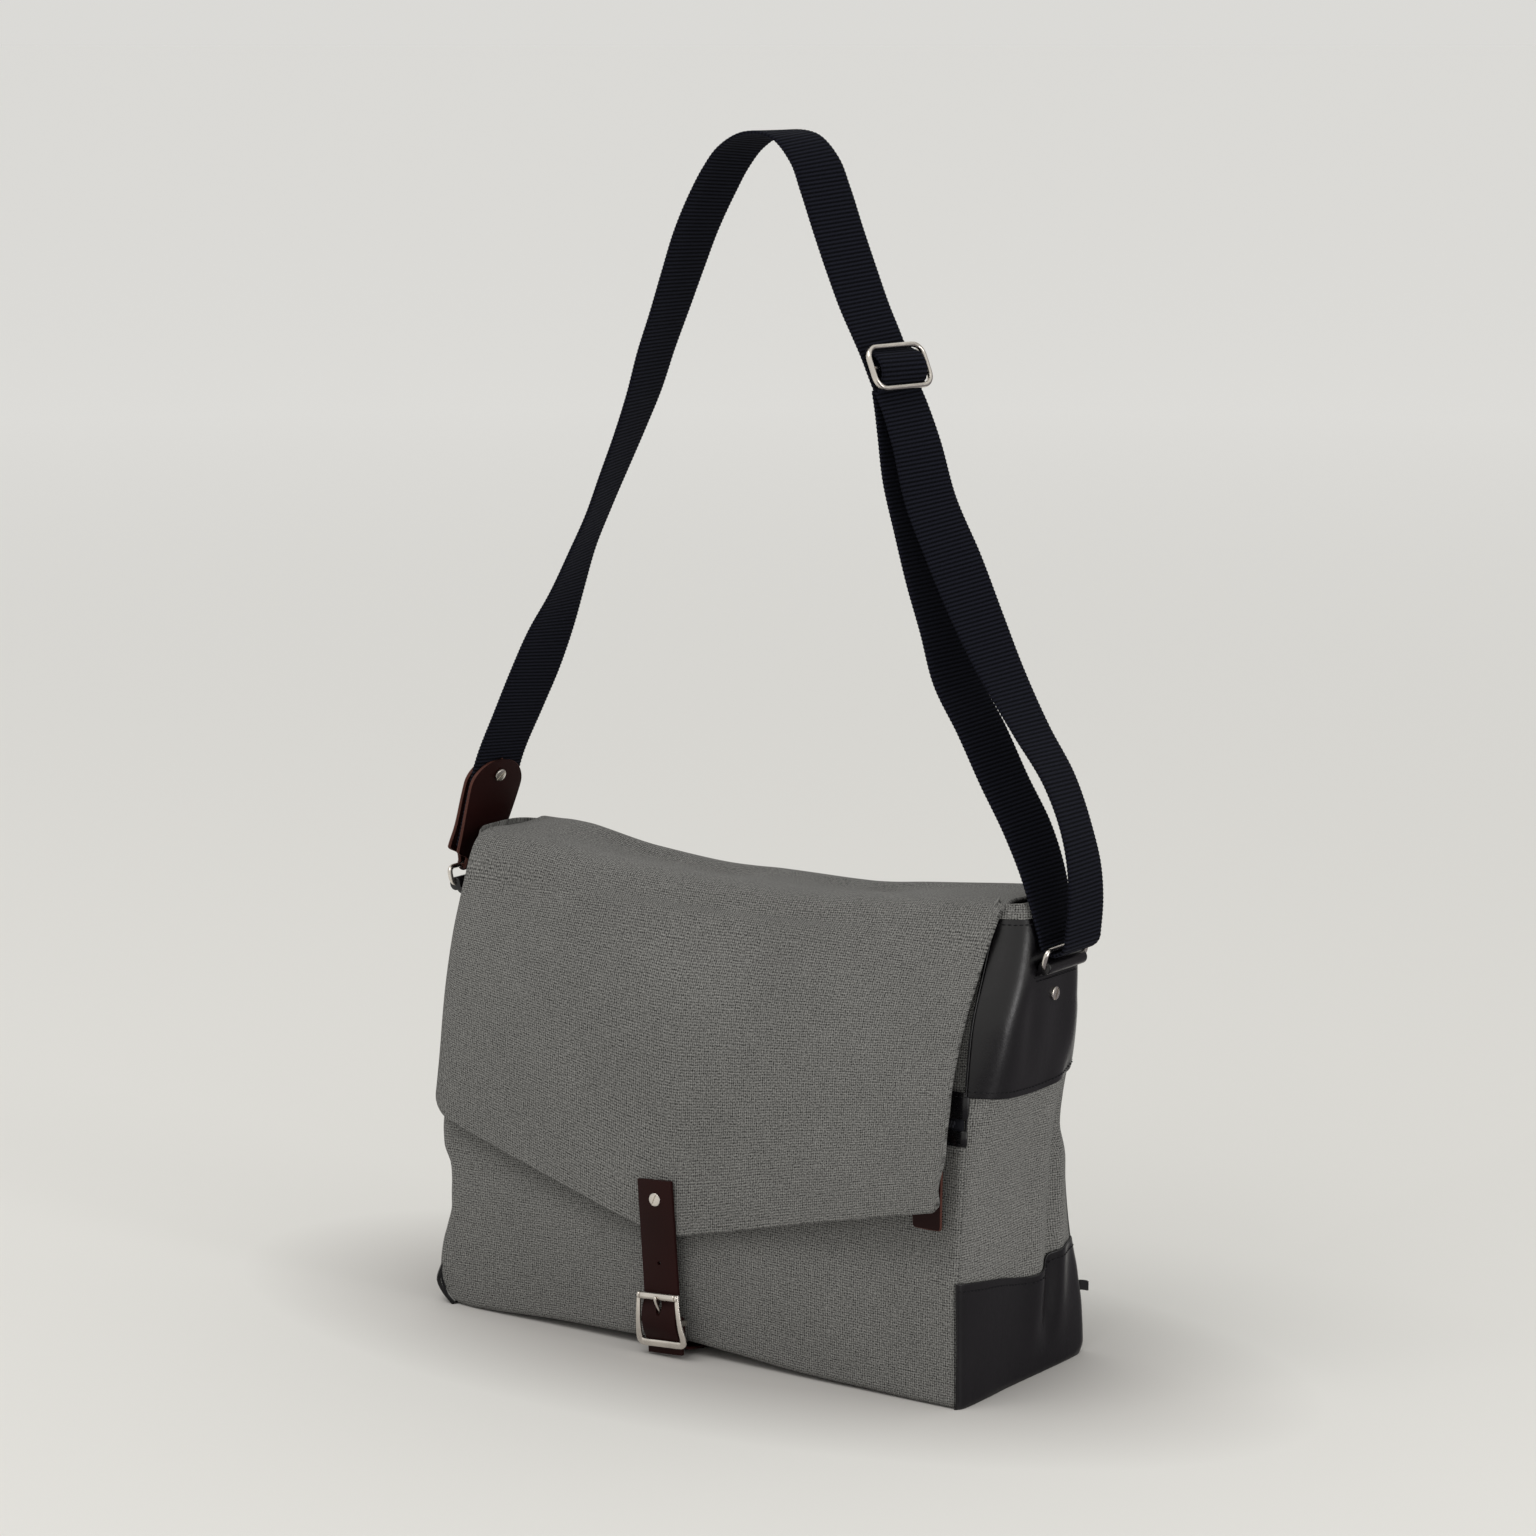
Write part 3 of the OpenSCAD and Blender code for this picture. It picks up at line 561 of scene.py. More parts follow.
# How the left front edge is pinched in and the right rear edge is pushed back, at a height.
PINCH = smooth([[0, 5], [4, 1.5], [8, -1], [15, -3.6], [27, -3.2], [40, -1], [52, 3], [65, 6.6],
                [77, 6.6], [90, 4.8], [102, -1.2], [115, -2.6], [130, -1], [150, 0], [293, 0]])
CORNER = smooth([[0, -3], [7, 2.4], [30, 3.0], [50, 1.5], [77, 3.0], [125, 3.3], [149, -4.5],
                 [172, -1.5], [196, 3], [220, 4.5], [234, 2], [262, 0], [293, 0]])
HALF = 190
RIM = 290
POCKET_TOP = 155
ZIP_TOP = 187
ZIP_Z = 168
LAYER = 2.3


def rim_sag(x):
    """How far the rim dips between the sides."""
    return 13 * np.maximum(0, 1 - (x / HALF) ** 2)


def base_height(x, y):
    """The height of the base's underside, which lifts a little along the front."""
    return 0.3 + LIFT(x) * np.clip((-30 - np.asarray(y, float)) / 40, 0, 1)


def ride(ob, body, slot, *nodes):
    """Hands a finished piece to its body and hides the CAD nodes it stands for; its slot argument is not
    used.
    """
    if nodes:
        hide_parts(*nodes)
    if body:
        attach(ob, body)
    return ob


def box_mm(node):
    """A CAD node's box in millimetres, as its low and high corners."""
    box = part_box(node)
    return np.array(box[0]) / MM, np.array(box[1]) / MM


def columns(half, n):
    """Places across a panel, closer together near its two ends."""
    s = np.linspace(-1, 1, n)
    s = np.sign(s) * (1 - (1 - np.abs(s)) ** 1.35)
    return half * np.concatenate([[-1, -0.9985], s[1:-1], [0.9985, 1]])


def front_grid(z_of, depth, n_rows, n_cols, under=False):
    """The front between two heights; with under, its lower edge rolls under the base."""
    xs = columns(HALF - 0.4, n_cols)
    rows = []
    for u in steps(n_rows):
        low, high = z_of(xs)
        rows.append(low + (high - low) * u)
    z = np.array(rows)
    x = np.broadcast_to(xs, z.shape).copy()
    belly = 2.6 * (1 - (x / HALF) ** 2) * bump(z, 42, 36)
    x = x + PINCH(z) * np.clip(-x / HALF, 0, 1) ** 3
    y = FRONT(z) - belly
    corner = np.clip((np.abs(xs) - (HALF - 4)) / 4, 0, 1) + 0 * z
    y = y + 3.2 * (1 - np.sqrt(np.maximum(0, 1 - corner**2)))
    if under:
        low = z_of(xs)[0]
        turn = np.clip((low + 3.6 - z) / 3.6, 0, 1)
        y = y + 3.2 * (1 - np.sqrt(np.maximum(0, 1 - turn**2)))
        y = y + 3 * step_up(-x, 165, 190) * step_up(30 - z, 0, 30)
    p = np.stack([x, y, z], 2)
    n = grid_normals(p)
    p = p - n * depth
    return crumple(p, n * (1 - corner**2)[..., None], 0.55, 58, 3)


def level(low, high):
    """A band of the front between two fixed heights, for front_grid."""
    return lambda x: (low + 0 * x, high + 0 * x)


def body_front():
    """The front panel, and the pocket panel over it up to the zip."""
    pocket = front_grid(lambda x: (base_height(x, -70), POCKET_TOP + 0 * x), 0, 70, 110, under=True)
    a = shell("pocket_canvas", pocket, 2.0, CANVAS)
    ride(a, "root", "canvas_grey", "pocket_panel")
    front = front_grid(lambda x: (base_height(x, -70) + 2.6, RIM - 2 - rim_sag(x)), LAYER, 80, 90)
    b = shell("front_canvas", front, 2.0, CANVAS)
    ride(b, "root", "canvas_grey", "front_panel")
    ride(stitches("pocket_hem_stitch", *row_on(pocket, r=-4), GREY_THREAD), "root", "canvas_grey")
    ride(stitches("front_hem_stitch", *row_on(front, r=-6), GREY_THREAD), "root", "canvas_grey")


def zip_band():
    """Two navy lips over the zip's tape, with the coil of teeth between them."""

    def lip(low, high, puff, name, seed):
        p = front_grid(level(low, high), -0.25, 12, 90)
        u = steps(12)
        n = grid_normals(p)
        p = p + n * (puff * np.sin(math.pi * u) ** 0.7)[:, None, None]
        p = crumple(p, n, 0.5, 16, seed)
        return shell(name, p, 1.5, NAVY), p

    upper, pu = lip(171.5, ZIP_TOP, 1.1, "zip_lip_upper", 5)
    lower, pl = lip(POCKET_TOP + 0.4, 164.6, 0.8, "zip_lip_lower", 6)
    tape = shell("zip_tape_cloth", front_grid(level(161, 175), 1.3, 6, 60), 0.7, NYLON)
    ride(joined("zip_lips", [upper, lower]), "root", "leather_navy", "zip_tape")
    ride(tape, "root", "nylon_navy")
    ride(stitches("zip_stitch_upper", *row_on(pu, r=-4), DARK_THREAD), "root", "leather_navy")
    ride(stitches("zip_stitch_lower", *row_on(pl, r=3), DARK_THREAD), "root", "leather_navy")
    ride(zip_coil(), "root", "coil_black", "zip_teeth")


def zip_coil():
    """Two rows of teeth that take turns along the zip."""
    count, pitch, start = 204, 1.8, -184
    profile = ((0.1, 0.36, 0.35), (0.9, 0.62, 0.62), (2.1, 0.62, 0.62), (2.7, 0.3, 0.3))
    y = float(FRONT(ZIP_Z)) - 0.35
    verts, faces = [], []
    for k in range(count):
        x = start + k * pitch
        for side in (-1, 1):
            shift = pitch / 2 if side > 0 else 0.0
            first = len(verts)
            for dz, w, d in profile:
                for cx, cy in ((-1, -1), (1, -1), (1, 1), (-1, 1)):
                    verts.append([x + shift + cx * w, y + cy * d, ZIP_Z + side * (dz - 0.55)])
            for row in range(3):
                for j in range(4):
                    q = first + row * 4
                    quad = [q + j, q + (j + 1) % 4, q + 4 + (j + 1) % 4, q + 4 + j]
                    faces.append(quad if side > 0 else quad[::-1])
            ends = [[first + j for j in (3, 2, 1, 0)], [first + 12 + j for j in range(4)]]
            faces += ends if side > 0 else [e[::-1] for e in ends]
    return make("zip_coil", verts, faces, NYLON, np.array(verts)[:, ::2])


def gusset_ends(z, side=1):
    """The y of a side's front and rear edges at a height."""
    return FRONT(z) + 1.9, REAR(z) - 1.6 + (CORNER(z) if side > 0 else 0)


def gusset_x(y, z, side=1):
    """How far out a side of the bag is: it swells towards the ring loop, full and square across, and
    has a soft crease near the rear."""
    y0, y1 = gusset_ends(z, side)
    v = np.clip((y - y0) / (y1 - y0), 0, 1)
    square = 2.5 + 3.5 * step_up(z, 110, 210)
    if side < 0:
        square = 2.0 + (square - 2.0) * step_up(v, 0.2, 0.5)
    x = HALF + BULGE(z) * (1 - np.abs(2 * v - 1) ** square)
    if side < 0:
        x = x - PINCH(z) * (1 - v) ** 2 - 3.0 * bump(v, 0, 0.05)
        x = x + bump(z, 12, 12) * (3.0 * bump(v, 0, 0.05) + 4.2 * bump(v, 0.05, 0.09))
    fall = step_up(z, 6, 55) * (1 - step_up(z, 150, 215))
    x = x - 3.6 * bump(y, 27, 6.5) * fall + 3.0 * bump(y, 11, 10) * fall + 2.6 * bump(y, 38, 9) * fall
    x = x + 1.6 * bump(y, 24, 10) * bump(z, 225, 40) - 1.5 * bump(y, -22, 9) * bump(z, 226, 30)
    edge = np.minimum(y - y0, y1 - y)
    return x - 2.2 * np.exp(-np.maximum(edge, 0) / 1.6)


def gusset_grid(rows, n_cols, side):
    """A side's surface: rows are heights for each place across it, and columns run to the right as
    seen from outside."""
    v = 0.5 - 0.5 * np.cos(math.pi * np.linspace(0, 1, n_cols))
    v = np.concatenate([[0, 0.003], v[1:-1], [0.997, 1]])
    z = np.array([row(v) if callable(row) else row + 0 * v for row in rows])
    y0, y1 = gusset_ends(z, side)
    y = y0 + (y1 - y0) * v
    x = gusset_x(y, z, side)
    edge = np.minimum(y - y0, y1 - y)
    p = np.stack([x, y, z], 2)
    if side < 0:
        p = p[:, ::-1] * np.array([-1, 1, 1])
    n = grid_normals(p)
    inside = (1 - np.exp(-np.maximum(edge, 0) / 5))[:, :: 1 if side > 0 else -1, None]
    return crumple(p, n * inside, 1.1, 42, 8 + side)


def heights(low, high, n):
    """Rows between two heights, either of which may vary across the piece."""
    low_at = low if callable(low) else (lambda v: low + 0 * v)
    high_at = high if callable(high) else (lambda v: high + 0 * v)
    return [lambda v, u=u: low_at(v) + (high_at(v) - low_at(v)) * u for u in steps(n)]


def gusset(side, tag):
    """A side of the bag: its canvas, its two leather patches and the binding on its rim."""
    cloth = shell("gusset_canvas_" + tag, gusset_grid(heights(0.5, RIM, 70), 46, side), 2.0, CANVAS)
    ride(cloth, "root", "canvas_grey", "gusset_" + tag)

    def patch(name, low, high, n_rows, lift=1.75):
        p = gusset_grid(heights(low, high, n_rows), 60, side)
        p = p + grid_normals(p) * lift
        return p, shell(name, p, 1.4, NAVY)

    top_low = smooth([[0, 184.5], [0.25, 181.5], [0.5, 180.5], [0.75, 182], [1, 187]])
    p, a = patch("top_patch_leather_" + tag, top_low, 283.6, 60)
    ride(a, "root", "leather_navy", "top_patch_" + tag)
    for r, suffix in ((3, "low"), (-4, "high")):
        row = stitches(f"top_patch_stitch_{suffix}_{tag}", *row_on(p, r=r), DARK_THREAD)
        ride(row, "root", "leather_navy")
    base_high = smooth([[0, 75.5], [0.3, 70], [0.58, 63.5], [0.7, 66], [0.78, 71.5], [0.88, 73],
                        [1, 74]])
    p, b = patch("base_patch_leather_" + tag, 0.2, base_high, 34)
    ride(b, "root", "leather_navy", "base_patch_" + tag)
    ride(stitches("base_patch_stitch_" + tag, *row_on(p, r=-4), DARK_THREAD), "root", "leather_navy")
    rim = gusset_grid(heights(283.2, RIM + 2.4, 8), 60, side)
    rim = rim + grid_normals(rim) * 2.0
    puff = 0.7 * np.sin(np.linspace(0, math.pi, rim.shape[0])) ** 0.8
    n = grid_normals(rim)
    rim = crumple(rim + n * puff[:, None, None], n, 0.8, 22, 4)
    ride(shell("rim_canvas_" + tag, rim, 4.0, CANVAS), "root", "canvas_grey", "rim_binding_" + tag)


def seam_piping():
    """The dark line where front and back panels meet the gussets."""
    z = np.linspace(2, RIM - 2, 90)
    for side, tag in ((1, "right"), (-1, "left")):
        for name, of, into in (("front", FRONT, 2.0), ("rear", REAR, -2.0)):
            pinched = PINCH(z) if (side, name) == (-1, "front") else 0
            pushed = CORNER(z) if (side, name) == (1, "rear") else 0
            path = np.stack([side * (HALF - 1.0) + pinched + 0 * z, of(z) + into + pushed, z], 1)
            tube = sweep(f"seam_{name}_{tag}", path, circle(0.6, 8), DARK_THREAD, up=[side, 0, 0])
            ride(tube, "root", "coil_black")


def back():
    """The back panel, whose lower edge rolls under the base."""
    xs = columns(HALF - 0.4, 100)[::-1]
    low, high = 0.6, RIM - 2 - rim_sag(xs)
    z = np.array([low + (high - low) * u for u in steps(80)])
    x = np.broadcast_to(xs, z.shape).copy()
    corner = np.clip((np.abs(x) - (HALF - 4)) / 4, 0, 1)
    turn = np.clip((7 - z) / 7, 0, 1)
    y = REAR(z) + CORNER(z) * step_up(x, 120, 186) - 3.2 * (1 - np.sqrt(np.maximum(0, 1 - corner**2)))
    y = y - 5 * (1 - np.sqrt(np.maximum(0, 1 - turn**2)))
    y = y + 1.6 * (1 - (x / HALF) ** 2) * bump(z, 150, 70)
    p = np.stack([x, y, z], 2)
    n = grid_normals(p)
    p = crumple(p, n * ((1 - corner**2) * (1 - turn))[..., None], 1.3, 75, 12)
    a = shell("back_canvas", p, 2.0, CANVAS)
    ride(a, "root", "canvas_grey", "back_panel")


def base():
    """The base panel, the board's material and the closure strap's patch under the base."""
    xs = columns(HALF - 3.5, 70)
    ys = np.concatenate([[67.6, 67.4], np.linspace(66, -63, 50), [-65.6, -65.8]])
    x, y = np.meshgrid(xs, ys)
    z = base_height(x, y) + 0.1 + 1.2 * (np.abs(x / HALF) ** 8 + 0 * y)
    a = shell("base_canvas", np.stack([x, y, z], 2), 1.6, CANVAS)
    ride(a, "root", "canvas_grey", "base_panel")
    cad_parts["base_board"].data.materials[0] = BOARD  # this node is kept from the CAD
    low, high = box_mm("anchor_patch")
    xs, ys = np.linspace(low[0], high[0], 20), np.linspace(high[1] + 6, low[1], 14)
    x, y = np.meshgrid(xs, ys)
    patch = shell("anchor_leather", np.stack([x, y, 0 * x + 0.25], 2), 1.9, BROWN)
    ride(patch, "root", "leather_brown", "anchor_patch")


def label():
    """The blank label in the rear seam, drooping towards its free end."""
    low, high = box_mm("label_tab")
    v = np.linspace(0, 1, 16)
    y = low[1] - 1 + (high[1] + 0.6 - low[1]) * v
    x = high[0] + 0.2 + 0.9 * np.sin(2.4 * v)
    droop = 3.6
    fall = 0.4 * np.sin(3 * v) - droop * v
    p = np.array([np.stack([x, y, z + fall], 1) for z in np.linspace(low[2] + droop, high[2], 12)])
    ride(shell("label_cloth", p, 1.1, LABEL), "root", "label_black", "label_tab")


# ---------------------------------------------------------------- the flap

# The flap's y along its left and right edges and half its width, at a height; then the height of
# its top, of its fold and of its rear edge at an x.
FLAP_LEFT = smooth([[110, -75.5], [131, -74.5], [156, -70.5], [193, -65], [235, -55.8], [266, -45.5]])
FLAP_RIGHT = smooth([[110, -93], [134, -91.6], [152, -86.5], [183, -79], [215, -66], [238, -56],
                     [264, -45.5], [266, -45]])
FLAP_HALF = smooth([[110, 188], [163, 189], [200, 187], [226, 186.5], [250, 188], [266, 190]])
TOP_WAVE = smooth([[-196, 293], [-178, 295.2], [-162, 297.2], [-148, 296.4], [-136, 291.4],
                   [-124, 286.8], [-109, 283.2], [-95, 280.3], [-66, 278.8], [-37, 276.6],
                   [-22, 276.8], [-8, 279.2], [21, 279.6], [50, 278.4], [79, 278.8], [108, 284.2],
                   [137, 287.8], [160, 290], [196, 292.6]])
FOLD_WAVE = smooth([[-196, 296.5], [-150, 294.6], [-100, 289.2], [-40, 285.2], [0, 284.8],
                    [60, 285.2], [100, 287.8], [150, 291.5], [196, 294.6]])
REAR_WAVE = smooth([[-196, 295], [-150, 293], [-100, 285.8], [-37, 281], [0, 281.6], [60, 282],
                    [100, 285.6], [150, 290], [196, 293.6]])


def flap_middle(z):
    """The flap's y in its middle at a height."""
    z = np.maximum(z, 105)
    down = (296 - z) / (296 - 124)
    return FRONT(z) - 5 - 6 * np.minimum(1, 2 * down) - 1.3


def flap_front(x, z):
    """The flap's y at a place on its front: it bows out from its middle to its two edges."""
    s = x / HALF
    side = np.where(s < 0, FLAP_LEFT(z), FLAP_RIGHT(z))
    middle = flap_middle(z)
    return middle + (side - middle) * np.minimum(np.abs(s), 1.03) ** np.where(s < 0, 4.0, 2.2)


POINT_X, POINT_Z, SHOULDER_Z = -12, 73, 124


def flap_edge(x, half):
    """The height of the flap's lower edge: a blunt point in the middle and a corner on each side."""
    off = x - POINT_X
    reach = np.where(off < 0, half + POINT_X, half - POINT_X)
    v = POINT_Z + (SHOULDER_Z - POINT_Z) * np.abs(off) / reach
    v = v + 2.2 * np.exp(-np.abs(off) / 9)
    r = np.where(x < 0, 11.0, 4.0)
    near = np.clip((np.abs(x) - (half - r)) / r, 0, 1)
    return v + r * (1 - np.sqrt(np.maximum(0, 1 - near**2)))


FLAP_ROWS = 8  # mesh rows between two control rows
FOLD_ROW = 13 * FLAP_ROWS + 1


def flap_grid():
    """The flap's outer face from its lower edge, over the fold, across the top and down the rear."""
    s = columns(1, 150)
    controls = []
    low = flap_edge(s * 191.5, 191.5)
    left = s < 0
    for u in (0, 0.1, 0.22, 0.36, 0.5, 0.64, 0.78, 0.9, 1):
        z = low + (266 - low) * u
        x = s * np.where(left, 191.0 - 1.8 * step_up(z, 190, 275), FLAP_HALF(z))
        controls.append([x, flap_front(x, z), z])
    x = s * np.where(left, 187.5, 192.4)

    def over(y_left, y_mid, y_right, z_from_top):
        t = s * 0.5 + 0.5
        bow = 2 * t * (1 - t) * (2 * y_mid - (y_left + y_right) / 2)
        return [x, y_left * (1 - t) * (1 - t) + bow + y_right * t * t, FOLD_WAVE(x) - z_from_top]

    for row in ((-41.5, -41.5, -39.5, 14.5), (-36, -36.5, -33, 6.2), (-28.5, -29, -25.5, 1.6),
                (-18, -18, -16, 0.2)):
        controls.append(over(*row))
    for y, wave, mix in ((-5, TOP_WAVE, 0.55), (9, TOP_WAVE, 0.9), (22, TOP_WAVE, 1.0)):
        controls.append([x, y + 0 * x, FOLD_WAVE(x) * (1 - mix) + wave(x) * mix])
    rear = REAR_WAVE(x)
    for half, y, z in ((191.8, 32, rear * 0.75 + TOP_WAVE(x) * 0.25 + 0.6), (191, 38.4, rear - 2.2),
                       (190, 39.6, rear - 9)):
        controls.append([s * np.where(left, 186.5, half), y + 0 * x, z])
    controls.append([s * 188.5, REAR(rear - 20) + 2.9, rear - 20])
    stack = np.array(controls).transpose(0, 2, 1)
    k = len(stack)
    fine = np.linspace(0, k - 1, (k - 1) * FLAP_ROWS + 1)
    fine = np.concatenate([[0, 0.06], fine[1:-1], [k - 1.06, k - 1]])
    i = np.clip(fine.astype(int), 0, k - 2)
    t = (fine - i)[:, None, None]
    m = np.gradient(stack, axis=0)
    p = hermite(t, 1, stack[i], stack[i + 1], m[i], m[i + 1])
    return crumple(p, grid_normals(p), 0.7, 74, 21)


def flap():
    """The flap in two pieces of canvas, which meet at the fold."""
    p = flap_grid()
    n, st = grid_normals(p), arc_grid(p)
    cut = FOLD_ROW
    front, top = slice(None, cut + 1), slice(cut, None)
    a = shell("flap_front_canvas", p[front], 2.5, CANVAS, (cut,), st[front], n[front])
    ride(a, None, "canvas_grey", "flap_front", "flap_front_facing")
    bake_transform(a)
    b = shell("flap_top_canvas", p[top], 2.5, CANVAS, (0,), st[top], n[top])
    ride(b, None, "canvas_grey", "flap_top", "flap_top_facing")
    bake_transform(b)
    for r in (-4, -9):
        ride(stitches(f"flap_rear_stitch_{-r}", *row_on(p, r=r), GREY_THREAD), "root", "canvas_grey")


# ---------------------------------------------------------------- the closure

SCREW_R = 4.0  # the radius of every screw post's head
LEAN = math.radians(4)
LX, LY, LZ = (math.cos(LEAN), 0, math.sin(LEAN)), (0, 1, 0), (-math.sin(LEAN), 0, math.cos(LEAN))
ROLLER_Y, BAR_Y, BAR_Z, RAIL_Y = -85.8, -80.2, -16, -84.6
BILLET_Y, BILLET_W, BILLET_T = -80.5, 25, 2.6


def closure(points):
    """The closure strap's own frame, which leans a little to the left."""
    return placed(points, (-12, 0, 38), LX, LY, LZ)


def strip(name, path, width, thick):
    """A leather strap: a rounded strip along a path of [y, z] points in the closure's frame."""
    world = closure(through([[0, *q] for q in path], 1.6))
    t = np.gradient(world, axis=0)
    t /= np.linalg.norm(t, axis=1, keepdims=True)
    wide = closure([[1, 0, 0]]) - closure([[0, 0, 0]])
    up = np.cross(np.broadcast_to(wide, t.shape), t)
    section = round_box(width, thick, min(0.55, thick * 0.3), 4)
    return sweep(name, world, section, BROWN, up=up, sharp=40)


def slotted(name, origin, x, y, z, r, turn, high=1.25):
    """The low dome of a screw post's head, with its slot; z points out of the surface."""
    c, s = math.cos(math.radians(turn)), math.sin(math.radians(turn))
    x, y, z = (np.array(v, float) for v in (x, y, z))
    rim = np.linspace(0.56, r, 14)
    rows = np.concatenate([-rim[::-1], [-0.5], np.linspace(-0.3, 0.3, 3), [0.5], rim])
    b, a = np.meshgrid(rows, np.linspace(-1, 1, 25), indexing="ij")
    a = a * np.sqrt(np.maximum(r * r - b * b, 1e-6))
    d = np.sqrt(a * a + b * b) / r
    top = high * (0.45 + 0.55 * np.sqrt(np.maximum(0, 1 - d**2.6)))
    top = np.where(np.abs(b) < 0.53, np.minimum(top, high * 0.42), top)
    p = np.stack([a * c - b * s, a * s + b * c, top], 2)
    low = p.copy()
    low[..., 2] = -0.4
    verts = np.concatenate([p.reshape(-1, 3), low.reshape(-1, 3)])
    nu, nv = p.shape[:2]
    faces = grid_faces(nu, nv, flip=True) + grid_faces(nu, nv, nu * nv)
    loop = border(nu, nv)
    for k in range(len(loop)):
        i, j = (q[0] * nv + q[1] for q in (loop[k], loop[(k + 1) % len(loop)]))
        faces.append([i, j, nu * nv + j, nu * nv + i])
    return make(name, placed(verts, origin, x, y, z), faces, NICKEL, sharp=38)


def cut_holes(ob, cutters):
    """Cuts real holes, and leaves no modifier behind."""
    for cutter in cutters:
        modifier = ob.modifiers.new("hole", "BOOLEAN")
        modifier.operation, modifier.solver, modifier.object = "DIFFERENCE", "EXACT", cutter
        bpy.context.view_layer.objects.active = ob
        bpy.ops.object.modifier_apply(modifier="hole")
        bpy.data.objects.remove(cutter)
    ob.data.set_sharp_from_angle(angle=math.radians(40))


def cylinder_between(name, a, b, r, material, n=24, sharp=40):
    return sweep(name, np.linspace(a, b, 4), circle(r, n), material, sharp=sharp)


def closure_point(x, y, z):
    return closure([[x, y, z]])[0]


def billet():
    """The closure strap from the flap down through the buckle, with its holes and screw."""
    middle = BILLET_Y - BILLET_T / 2
    path = [[middle, 70.8], [middle, 50], [middle, 32], [middle, 16], [middle, 6], [middle - 0.2, 0],
            [middle - 1.6, -4.4], [-85.6, -9.5], [-86.2, -14], [-85.7, -19], [-83.6, -24.5],
            [-81.5, -29], [-81.2, -36]]
    a = strip("billet_leather", path, BILLET_W, BILLET_T)
    slant = closure([[0, -76, -3.8], [0, -83, -6.3], [0, -92, -9.5]])
    holes = [
        cylinder_between("cut_a", closure_point(0, -70, 20), closure_point(0, -95, 20), 1.25, BROWN),
        sweep("cut_b", slant, circle(1.9, 24, 1.9), BROWN, up=[0, 0, 1]),
    ]
    cut_holes(a, holes)
    ride(a, None, "leather_brown", "billet", "billet_top")
    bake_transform(a)
    face = closure_point(0, BILLET_Y - BILLET_T, 59)
    head = slotted("billet_screw_head", face, LX, LZ, (0, -1, 0), SCREW_R, 62)
    ride(head, "flap_front", "nickel", "billet_screw")


def anchor_strap():
    """The lower strap, which goes under the base and holds the buckle's middle bar."""
    anchor = [[-46, -35.6], [-58, -35.6], [-69, -34.6], [-76, -32.6], [-78.6, -29], [-77.6, -22],
              [-77.45, -16], [-78.3, -14.0], [-80.2, -13.3], [-82.1, -14.1], [-82.9, -16],
              [-82.6, -20]]
    a = strip("anchor_strap_leather", anchor, BILLET_W - 1, 1.7)
    ride(a, "closure", "leather_brown", "anchor_strap")


def buckle_rim():
    """The frame's two rails and its lower end, wider and flatter towards the bottom."""
    half = [[13.9, ROLLER_Y, 1.8], [14.1, ROLLER_Y - 0.5, -1.5], [14.5, ROLLER_Y - 0.9, -7],
            [15.1, ROLLER_Y - 0.9, -14], [15.7, ROLLER_Y - 0.4, -20], [16.2, -85.2, -25],
            [16.0, -84.8, -27.6], [14.6, RAIL_Y, -28.9], [12, RAIL_Y, -29.2], [5, RAIL_Y, -29.2]]
    whole = [[-x, y, z] for x, y, z in half] + [[0, RAIL_Y, -29.2]] + half[::-1]
    path = through(whole, 0.7)
    u = np.abs(np.linspace(-1, 1, len(path)))
    wide = np.interp(u, [0, 0.42, 0.55, 0.8, 1], [4.3, 4.2, 3.5, 2.9, 2.6])[:, None]
    unit = round_box(1, 1, 0.32, 5)
    many = np.stack([unit[None, :, 0] * wide, unit[None, :, 1] * 2.1 + 0 * wide], 2)
    return sweep("buckle_rim", closure(path), many, NICKEL, up=[0, -1, 0], sharp=50)


